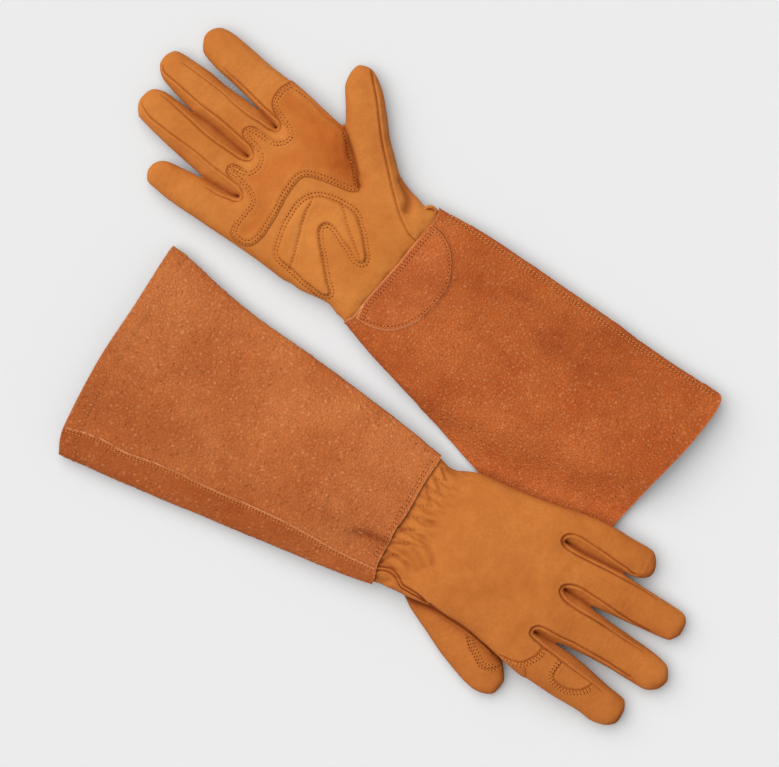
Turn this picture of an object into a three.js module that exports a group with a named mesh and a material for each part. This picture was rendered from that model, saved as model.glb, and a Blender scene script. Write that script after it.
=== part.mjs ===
// Pair of long leather pruning gloves laid as a pile. Millimetres, +Z up, resting plane z = 0
// before the final centring shift.
// Right glove: palm up, fingers toward -x. Left glove: back up, fingers toward +x, its hand
// lying on the low corner of the right gauntlet. Every piece is a thin closed sheet.
//
// A skin is a function (s, angle, inset) -> [x, y, z]. s runs 0 to 1 along the tube, angle 0 to PI
// is the upper face and PI to 2 PI the lower face, and a positive inset goes into the tube.
import * as THREE from "three";

// ---- thicknesses and clearances ----------------------------------------------------------
const LEATHER = 1.2;
const PATCH = 1.0; // leather of the patches and the binding
const FACING = 0.8; // hem facing and elastic
const FOAM = 2.4;
const LAY = 0.4; // clearance between two layers
const BINDING_LAY = 3 * LAY;
const INSIDE = LEATHER + LAY; // inset of whatever lies against the inner face

// insets of the two faces of a sheet
const SHELL = [0, LEATHER];
const PATCH_LAYER = [-LAY - PATCH, -LAY];
const BINDING_LAYER = [-BINDING_LAY - PATCH, -BINDING_LAY];
const FACING_LAYER = [INSIDE, INSIDE + FACING];
const FOAM_LAYER = [INSIDE, INSIDE + FOAM];

// ---- half thicknesses of the tubes ---------------------------------------------------------
const HAND_HALF = 10.5;
const WRIST_HALF = 8.5;
const GAUNTLET_HALF = 9.5;
const FINGER_HALF = 8.0;
const ROOT_HALF = FINGER_HALF + 0.3; // the hand where the fingers start
const GAUNTLET_MID = GAUNTLET_HALF - 0.6; // low enough to flatten the gauntlet on the plane
const PINNED_HALF = 6.2 / 2; // the gauntlet corner under the other hand

// ---- section and tip shape -----------------------------------------------------------------
const SQUARENESS = 2.4; // superellipse exponent of every tube
const TIP_LENGTH = 1.05; // length of a digit's dome, in half widths
const LIFT_BEND = 1.25; // exponent of a digit's change of height

// ---- angles at the sewn edges, radians -----------------------------------------------------
const EDGE_GAP = 0.02;
const TIP_GAP_GROWTH = 0.05; // added to the edge gap at a digit's tip
const STRIP_HALF = 0.42; // half the arc of a finger's side strip
const STRIP_GAP = 0.07;
const SEAM_OFFSET = 0.74; // gauntlet's thumb side seam, measured from its edge
const SEAM_GAP = 0.03;
const BINDING_GAP = 0.03;

// ---- stations along the tubes, s -----------------------------------------------------------
const HAND_STATIONS = steps(0.013, 0.985, 7); // just clear of the wrist line and digit roots
const DIGIT_STATIONS = [0, 0.25, 0.5, 0.72, 0.84, 0.92, 0.965, 0.993];
const STRIP_STATIONS = DIGIT_STATIONS.slice(0, 6);
const GAUNTLET_STATIONS = [0.006, 0.12, 0.24, 0.36, 0.48, 0.6, 0.72, 0.84, 0.945, 1];
const HEM_STATIONS = GAUNTLET_STATIONS.slice(-2);
const MOON_STATIONS = [0.03, 0.07, 0.11, 0.15, 0.18, 0.193];
const BINDING_STATIONS = [0.006, 0.018];

const HAND_COLUMNS = 8; // segments across a hand panel
const CENTRING = [0.493, -1.085, 0]; // puts the pair's box on the origin in plan

const COLOUR = {
  hand: 0xc8803f,
  patch: 0xc06a2c,
  gauntlet: 0xb8683a,
  halfMoon: 0xbe6434,
  strip: 0xb8743a,
  binding: 0xe0b088,
  foam: 0xe8e0d0,
  elastic: 0xf0ece4,
};

// ---- the two gloves ------------------------------------------------------------------------
// Outlines are [x, y] points. low and high are the borders at smaller and larger y, running
// from the wrist to the finger roots (hand) or to the hem (gauntlet); ends run low to high.
// lift: height of the hand's middle surface at the wrist and at the roots [low, high border];
//   rise is the s by which the root height is reached.
// Digits: line is the middle line in plan, widths the half widths from root to tip,
//   lift the height of the middle line at root and tip.
const RIGHT = {
  side: "right",
  palmUp: true,
  cornerPinned: true,
  thumbHalf: 8.2,
  highSideThinning: 0,
  patchColumns: [1, 5], // first and last column of the palm patch
  lift: { wrist: 10.8, roots: [11.4, 11.4], rise: 0.4 },
  hand: {
    low: [
      [-59.1, 14.3], [-74.7, 18.1], [-96.8, 15.3], [-111.3, 15.0], [-141.3, 16.8], [-162.3, 18.1],
    ],
    high: [
      [-47.7, 114.7], [-57.6, 108.3], [-74.0, 107.8], [-88.8, 100.0], [-102.9, 96.0],
      [-116.7, 108.4], [-132.2, 125.6], [-146.7, 127.7], [-163.3, 130.5],
    ],
    end: [
      [-162.3, 18.1], [-162.6, 31.8], [-165.0, 45.1], [-167.8, 60.1], [-169.4, 75.2],
      [-169.7, 87.7], [-167.7, 101.8], [-165.1, 116.2], [-163.3, 130.5],
    ],
  },
  gauntlet: {
    low: [
      [-59.1, 14.3], [-34.5, 5.6], [21.8, -8.9], [75.6, -23.3], [126.5, -37.1], [166.8, -47.2],
    ],
    high: [[-47.7, 114.7], [-7.7, 117.6], [88.5, 115.1], [136.0, 113.0], [184.2, 112.3]],
    end: [
      [166.8, -47.2], [173.2, -5.1], [179.8, 35.4], [185.5, 73.6], [187.5, 99.6], [184.2, 112.3],
    ],
  },
  digits: {
    index: {
      line: [[-168.6, 116.4], [-190.8, 119.6], [-212.6, 122.8], [-229.4, 125.8], [-248.6, 129.7]],
      widths: [12.0, 12.9, 12.9, 12.5],
      lift: [10.8, 9.6],
    },
    middle: {
      line: [[-173.0, 88.4], [-196.9, 91.0], [-221.3, 92.4], [-243.2, 96.3], [-262.9, 101.1]],
      widths: [11.6, 13.2, 13.6, 13.0],
      lift: [10.8, 9.6],
    },
    ring: {
      line: [[-173.4, 60.7], [-198.6, 61.9], [-226.1, 63.8], [-244.5, 66.7], [-261.0, 69.3]],
      widths: [12.0, 13.0, 13.2, 12.6],
      lift: [10.8, 9.6],
    },
    little: {
      line: [[-168.0, 32.2], [-179.6, 31.5], [-195.0, 31.0], [-211.8, 30.3], [-229.8, 28.5]],
      widths: [12.0, 12.6, 12.6, 11.8],
      lift: [10.8, 9.6],
    },
    thumb: {
      line: [[-93.6, 108.7], [-107.1, 123.8], [-122.1, 140.4], [-134.3, 155.5], [-144.6, 169.8]],
      widths: [13.4, 14.2, 14.0, 13.0],
      lift: [10.8, 9.0],
    },
  },
};

const LEFT = {
  side: "left",
  palmUp: false,
  cornerPinned: false,
  thumbHalf: 6.2,
  highSideThinning: 1.2, // taken off the hand's half thickness on the little finger side
  patchColumns: [1, 4],
  lift: { wrist: 12.0, roots: [19.2, 16.6], rise: 0.42 },
  hand: {
    low: [
      [55.6, -126.8], [67.4, -115.3], [88.5, -112.8], [116.6, -114.3], [141.6, -118.6],
      [163.7, -121.6],
    ],
    high: [
      [47.6, -28.3], [60.6, -30.6], [77.5, -23.7], [100.3, -19.6], [126.6, -13.2], [151.1, -7.2],
    ],
    end: [
      [163.7, -121.6], [163.7, -109.6], [163.8, -97.6], [165.5, -88.3], [164.9, -77.2],
      [163.0, -65.7], [158.4, -56.1], [156.4, -44.2], [153.7, -32.4], [151.4, -18.7],
      [151.1, -7.2],
    ],
  },
  gauntlet: {
    low: [[55.6, -126.8], [30.4, -132.4], [-32.5, -144.5], [-95.8, -156.0], [-174.6, -170.1]],
    high: [[47.6, -28.3], [22.0, -24.4], [-44.9, -20.1], [-111.5, -16.4], [-185.8, -7.1]],
    end: [
      [-174.6, -170.1], [-181.9, -152.6], [-186.8, -100.7], [-187.4, -54.2], [-187.5, -14.8],
      [-185.8, -7.1],
    ],
  },
  digits: {
    index: {
      line: [[167.4, -109.7], [188.6, -111.1], [202.2, -110.5], [216.2, -110.5], [251.5, -110.9]],
      widths: [11.6, 12.5, 12.9, 12.8],
      lift: [15.5, 8.2],
    },
    middle: {
      line: [[168.9, -76.8], [184.6, -75.9], [203.8, -75.0], [226.4, -74.3], [262.7, -73.4]],
      widths: [11.9, 13.2, 13.8, 13.3],
      lift: [16.2, 8.2],
    },
    ring: {
      line: [[161.6, -43.8], [173.9, -44.2], [188.8, -44.4], [217.0, -40.9], [255.5, -37.5]],
      widths: [11.9, 12.9, 13.3, 12.8],
      lift: [16.4, 8.2],
    },
    little: {
      line: [[156.8, -18.3], [165.0, -17.9], [175.9, -16.9], [189.9, -15.7], [213.8, -11.6]],
      widths: [11.0, 11.6, 11.8, 11.7],
      lift: [16.0, 8.2],
    },
    thumb: {
      line: [[97.6, -118.3], [110.0, -123.4], [126.6, -129.4], [142.8, -135.3], [169.5, -146.0]],
      widths: [12.4, 13.2, 13.6, 13.4],
      lift: [6.3, 6.3],
    },
  },
};

// Side strips of each finger, left and right seen from above, looking from root to tip.
// On both gloves left faces the little finger and right faces the index finger.
const FINGER_STRIPS = {
  index: { left: "index_fourchette" },
  middle: { left: "middle_fourchette_outer", right: "middle_fourchette_inner" },
  ring: { left: "ring_fourchette_outer", right: "ring_fourchette_inner" },
  little: { right: "little_fourchette" },
};

// ---- numbers and lines -----------------------------------------------------------------------
function lerp(a, b, t) {
  return a + (b - a) * t;
}

function steps(from, to, count) {
  return Array.from({ length: count + 1 }, (_, i) => lerp(from, to, i / count));
}

// smooth step from 0 to 1 while x goes from start to end
function ramp(x, start, end) {
  const t = Math.min(1, Math.max(0, (x - start) / (end - start)));
  return t * t * (3 - 2 * t);
}

// superellipse coordinate from a sine or cosine
function squared(value) {
  return Math.sign(value) * Math.pow(Math.abs(value), 2 / SQUARENESS);
}

// distance of each point of a polyline from its start
function distances(line) {
  const result = [0];
  for (let i = 1; i < line.length; i++) {
    const [x, y] = line[i - 1];
    result.push(result[i - 1] + Math.hypot(line[i][0] - x, line[i][1] - y));
  }
  return result;
}

// point at fraction t of a polyline's length
function along(line, t) {
  const reached = distances(line);
  const target = Math.min(1, Math.max(0, t)) * reached.at(-1);
  let i = 1;
  while (i < line.length - 1 && reached[i] < target) i++;
  const part = (target - reached[i - 1]) / (reached[i] - reached[i - 1]);
  return [0, 1].map((k) => lerp(line[i - 1][k], line[i][k], part));
}

// value at fraction t of an evenly spaced list
function sample(list, t) {
  const x = Math.min(0.99999, Math.max(0, t)) * (list.length - 1);
  const i = Math.floor(x);
  return lerp(list[i], list[i + 1], x - i);
}

// ---- skins -------------------------------------------------------------------------------------
// Coons patch between four borders: s from the wrist to the end, v from low to high
function panelPlan({ low, high, end }) {
  const wrist = [low[0], high[0]];
  return (s, v) => {
    const lowPoint = along(low, s);
    const highPoint = along(high, s);
    const wristPoint = along(wrist, v);
    const endPoint = along(end, v);
    return [0, 1].map((k) => {
      const nearCorners = lerp(low[0][k], high[0][k], v);
      const farCorners = lerp(low.at(-1)[k], high.at(-1)[k], v);
      return lerp(lowPoint[k], highPoint[k], v)
        + lerp(wristPoint[k], endPoint[k], s)
        - lerp(nearCorners, farCorners, s);
    });
  };
}

// Flat tube over a plan, angle 0 at the high border. onPlane keeps it from going below z = 0.
function panelSkin(plan, mid, half, onPlane = false) {
  return (s, angle, inset) => {
    const [lowX, lowY] = plan(s, 0);
    const [highX, highY] = plan(s, 1);
    const wide = Math.hypot(lowX - highX, lowY - highY);
    const v = 0.5 + 0.5 * squared(Math.cos(angle)) * (1 - (2 * inset) / wide);
    const z = mid(s, v) + (half(s, v) - inset) * squared(Math.sin(angle));
    return [...plan(s, v), onPlane ? Math.max(z, inset) : z];
  };
}

// Digit with a domed tip, angle 0 on its left seen from above, looking from root to tip
function digitSkin({ line, widths, lift }, half) {
  const total = distances(line).at(-1);
  return (s, angle, inset) => {
    const reach = total - inset;
    const distance = s * reach;
    const tip = TIP_LENGTH * widths.at(-1) - inset;
    const intoTip = Math.max(0, (distance - (reach - tip)) / tip);
    const dome = Math.sqrt(Math.max(0, 1 - intoTip * intoTip));

    // direction from points 1 mm before and after
    const t = distance / total;
    const centre = along(line, t);
    const ahead = along(line, (distance + 1) / total);
    const behind = along(line, (distance - 1) / total);
    const dx = ahead[0] - behind[0];
    const dy = ahead[1] - behind[1];

    const across = squared(Math.cos(angle)) * (sample(widths, t) - inset) * dome;
    const sideways = across / Math.hypot(dx, dy);
    const up = squared(Math.sin(angle)) * (half - inset) * dome;
    const mid = lerp(lift[0], lift[1], Math.pow(t, LIFT_BEND));
    return [centre[0] - dy * sideways, centre[1] + dx * sideways, mid + up];
  };
}

// ---- sheets ------------------------------------------------------------------------------------
// Turns all the triangles over if they face inward
function faceOutward(positions, indices) {
  const [a, b, c] = [new THREE.Vector3(), new THREE.Vector3(), new THREE.Vector3()];
  let volume = 0;
  for (let i = 0; i < indices.length; i += 3) {
    [a, b, c].forEach((corner, k) => corner.fromArray(positions, indices[i + k] * 3));
    volume += a.dot(b.cross(c));
  }
  if (volume >= 0) return;
  for (let i = 0; i < indices.length; i += 3) {
    [indices[i + 1], indices[i + 2]] = [indices[i + 2], indices[i + 1]];
  }
}

// Closed sheet between two insets of a skin. Each of the two angles is a number or f(s).
function sheet(skin, { stations, angles, segments, insets = SHELL }) {
  const rows = stations.length;
  const columns = segments + 1;
  const positions = [];
  const indices = [];
  for (const inset of insets) {
    for (const s of stations) {
      const [from, to] = angles.map((angle) => (typeof angle === "function" ? angle(s) : angle));
      for (const angle of steps(from, to, segments)) positions.push(...skin(s, angle, inset));
    }
  }
  const at = (face, i, j) => (face * rows + i) * columns + j;
  const quad = (a, b, c, d) => indices.push(a, b, c, a, c, d);
  const lastRow = rows - 1;
  for (let i = 0; i < lastRow; i++) {
    for (let j = 0; j < segments; j++) {
      quad(at(0, i, j), at(0, i + 1, j), at(0, i + 1, j + 1), at(0, i, j + 1));
      quad(at(1, i, j), at(1, i, j + 1), at(1, i + 1, j + 1), at(1, i + 1, j));
    }
  }
  // rims along the sides, then across the ends
  for (let i = 0; i < lastRow; i++) {
    quad(at(0, i, 0), at(1, i, 0), at(1, i + 1, 0), at(0, i + 1, 0));
    quad(at(0, i, segments), at(0, i + 1, segments), at(1, i + 1, segments), at(1, i, segments));
  }
  for (let j = 0; j < segments; j++) {
    quad(at(0, 0, j), at(0, 0, j + 1), at(1, 0, j + 1), at(1, 0, j));
    quad(at(0, lastRow, j), at(1, lastRow, j), at(1, lastRow, j + 1), at(0, lastRow, j + 1));
  }
  faceOutward(positions, indices);
  const geometry = new THREE.BufferGeometry();
  geometry.setAttribute("position", new THREE.Float32BufferAttribute(positions, 3));
  geometry.setIndex(indices);
  geometry.computeVertexNormals();
  return geometry;
}

const group = new THREE.Group();
group.name = "gardening_gloves";

function add(glove, name, color, skin, shape) {
  const geometry = sheet(skin, shape).translate(...CENTRING);
  const material = new THREE.MeshStandardMaterial({ color, roughness: 0.8, metalness: 0 });
  const mesh = new THREE.Mesh(geometry, material);
  mesh.name = `${glove.side}_${name}`;
  group.add(mesh);
}

// start angle of the half turn on the palm side and on the back side
const palmStart = (glove) => (glove.palmUp ? 0 : Math.PI);
const backStart = (glove) => (glove.palmUp ? Math.PI : 0);
const arc = (start, from, to) => [start + from, start + to];

// ---- hand --------------------------------------------------------------------------------------
function handSkin({ hand, lift, highSideThinning }) {
  const mid = (s, v) => {
    const root = lerp(lift.roots[0], lift.roots[1], ramp(v, 0, 0.625));
    return lerp(lift.wrist, root, ramp(s, 0, lift.rise));
  };
  const half = (s, v) => {
    const body = lerp(HAND_HALF, ROOT_HALF, ramp(s, 0.55, 1));
    const thinning = highSideThinning * ramp(v, 0.5, 0.8) * ramp(s, 0, 0.3);
    return lerp(WRIST_HALF, body, ramp(s, 0, 0.4)) - thinning;
  };
  return panelSkin(panelPlan(hand), mid, half);
}

function addHand(glove) {
  const skin = handSkin(glove);
  const palm = palmStart(glove);
  const back = backStart(glove);
  for (const [name, start] of [["palm_panel", palm], ["back_panel", back]]) {
    add(glove, name, COLOUR.hand, skin, {
      stations: HAND_STATIONS,
      angles: arc(start, EDGE_GAP, Math.PI - EDGE_GAP),
      segments: HAND_COLUMNS,
    });
  }
  // on the index finger side of the palm, following the palm panel's columns
  const [first, last] = glove.patchColumns;
  const columnAngle = (i) => lerp(EDGE_GAP, Math.PI - EDGE_GAP, i / HAND_COLUMNS);
  add(glove, "palm_patch", COLOUR.patch, skin, {
    stations: HAND_STATIONS.slice(4),
    angles: arc(palm, columnAngle(first), columnAngle(last)),
    segments: last - first,
    insets: PATCH_LAYER,
  });
  add(glove, "heel_pad", COLOUR.foam, skin, {
    stations: steps(0.12, 0.48, 4),
    angles: arc(palm, 0.85, 2.3),
    segments: 4,
    insets: FOAM_LAYER,
  });
  add(glove, "wrist_elastic", COLOUR.elastic, skin, {
    stations: [0.03, 0.09],
    angles: arc(back, 0.5, Math.PI - 0.5),
    segments: 6,
    insets: FACING_LAYER,
  });
}

// ---- digits ------------------------------------------------------------------------------------
// Front (palm side) and back sheets; an edge stops short where a side strip is sewn in
function addDigitFaces(glove, name, skin, strips, segments) {
  const openEdge = (s) => EDGE_GAP + TIP_GAP_GROWTH * ramp(s, 0.84, 1);
  const stripEdge = () => STRIP_HALF + STRIP_GAP;
  const leftEdge = strips.left ? stripEdge : openEdge;
  const rightEdge = strips.right ? stripEdge : openEdge;
  const upper = [leftEdge, (s) => Math.PI - rightEdge(s)];
  const lower = [(s) => Math.PI + rightEdge(s), (s) => 2 * Math.PI - leftEdge(s)];
  const [front, back] = glove.palmUp ? [upper, lower] : [lower, upper];
  const stations = DIGIT_STATIONS;
  add(glove, `${name}_front`, COLOUR.hand, skin, { stations, angles: front, segments });
  add(glove, `${name}_back`, COLOUR.hand, skin, { stations, angles: back, segments });
}

function addStrip(glove, name, skin, centre) {
  add(glove, name, COLOUR.strip, skin, {
    stations: STRIP_STATIONS,
    angles: arc(centre, -STRIP_HALF, STRIP_HALF),
    segments: 2,
  });
}

function addDigits(glove) {
  for (const [name, strips] of Object.entries(FINGER_STRIPS)) {
    const skin = digitSkin(glove.digits[name], FINGER_HALF);
    addDigitFaces(glove, name, skin, strips, 5);
    if (strips.left) addStrip(glove, strips.left, skin, 0);
    if (strips.right) addStrip(glove, strips.right, skin, Math.PI);
    if (name === "index") {
      add(glove, "index_back_patch", COLOUR.patch, skin, {
        stations: steps(0.42, 0.68, 3),
        angles: arc(backStart(glove), 0.8, 2.3),
        segments: 3,
        insets: PATCH_LAYER,
      });
    }
  }
  addDigitFaces(glove, "thumb", digitSkin(glove.digits.thumb, glove.thumbHalf), {}, 6);
}

// ---- gauntlet ----------------------------------------------------------------------------------
function gauntletSkin({ gauntlet, lift, cornerPinned }, onPlane) {
  // 1 at the corner of hem and low border that the other hand presses flat
  const pinned = (s, v) => (cornerPinned ? ramp((s - 0.6) / 0.4 - v / 0.28, -1, -0.2) : 0);
  const half = (s, v) =>
    lerp(lerp(WRIST_HALF, GAUNTLET_HALF, ramp(s, 0, 0.5)), PINNED_HALF, pinned(s, v));
  const mid = (s, v) =>
    lerp(lerp(lift.wrist, GAUNTLET_MID, ramp(s, 0.2, 0.55)), PINNED_HALF, pinned(s, v));
  return panelSkin(panelPlan(gauntlet), mid, half, onPlane);
}

// half the arc of the half moon patch at s
function moonHalf(s) {
  const offset = (s - MOON_STATIONS[0]) / 0.165;
  return 1.12 * Math.sqrt(Math.max(0.02, 1 - offset * offset));
}

function addGauntlet(glove) {
  const restingSkin = gauntletSkin(glove, true);
  const freeSkin = gauntletSkin(glove, false);
  const palm = palmStart(glove);
  // the thumb side seam is moved off the edge onto the back face
  const panels = {
    back: { angles: arc(backStart(glove), EDGE_GAP, Math.PI - SEAM_OFFSET), segments: 9 },
    palm: { angles: arc(palm, SEAM_GAP - SEAM_OFFSET, Math.PI - EDGE_GAP), segments: 10 },
  };
  for (const [face, panel] of Object.entries(panels)) {
    add(glove, `gauntlet_${face}`, COLOUR.gauntlet, restingSkin, {
      ...panel,
      stations: GAUNTLET_STATIONS,
    });
  }
  const moonCentre = palm + Math.PI / 2;
  add(glove, "half_moon_patch", COLOUR.halfMoon, freeSkin, {
    stations: MOON_STATIONS,
    angles: [(s) => moonCentre - moonHalf(s), (s) => moonCentre + moonHalf(s)],
    segments: 6,
    insets: PATCH_LAYER,
  });
  add(glove, "wrist_binding", COLOUR.binding, freeSkin, {
    stations: BINDING_STATIONS,
    angles: [BINDING_GAP, 2 * Math.PI - BINDING_GAP],
    segments: 40,
    insets: BINDING_LAYER,
  });
  for (const [face, panel] of Object.entries(panels)) {
    add(glove, `hem_facing_${face}`, COLOUR.gauntlet, restingSkin, {
      ...panel,
      stations: HEM_STATIONS,
      insets: FACING_LAYER,
    });
  }
}

for (const glove of [RIGHT, LEFT]) {
  addHand(glove);
  addDigits(glove);
  addGauntlet(glove);
}

export default group;
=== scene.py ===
# Pair of leather pruning gloves lying on the plane z = 0, the left one partly over the right one.
# Right glove: palm up, fingers toward -x, cuff toward +x. Left glove: back up, the other way round.
# Shapes are worked out in millimetres and handed to Blender in metres.
import bpy
import math
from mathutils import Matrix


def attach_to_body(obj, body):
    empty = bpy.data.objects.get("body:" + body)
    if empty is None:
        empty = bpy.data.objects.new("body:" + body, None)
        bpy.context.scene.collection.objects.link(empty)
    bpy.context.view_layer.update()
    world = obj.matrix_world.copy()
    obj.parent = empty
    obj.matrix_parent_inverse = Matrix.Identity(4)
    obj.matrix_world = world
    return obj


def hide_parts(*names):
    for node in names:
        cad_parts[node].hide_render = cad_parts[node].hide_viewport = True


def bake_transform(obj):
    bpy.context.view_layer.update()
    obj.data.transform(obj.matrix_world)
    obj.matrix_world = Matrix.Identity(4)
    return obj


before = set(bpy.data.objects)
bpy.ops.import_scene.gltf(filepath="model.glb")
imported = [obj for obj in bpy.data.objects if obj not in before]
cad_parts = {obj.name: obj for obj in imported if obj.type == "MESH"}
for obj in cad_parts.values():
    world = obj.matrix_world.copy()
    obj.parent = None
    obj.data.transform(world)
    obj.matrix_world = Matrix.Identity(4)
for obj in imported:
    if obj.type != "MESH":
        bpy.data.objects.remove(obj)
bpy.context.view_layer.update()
from types import SimpleNamespace
import numpy as np
from mathutils import Vector, Matrix
from mathutils.bvhtree import BVHTree

DIGITS = ("index", "middle", "ring", "little")

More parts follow.
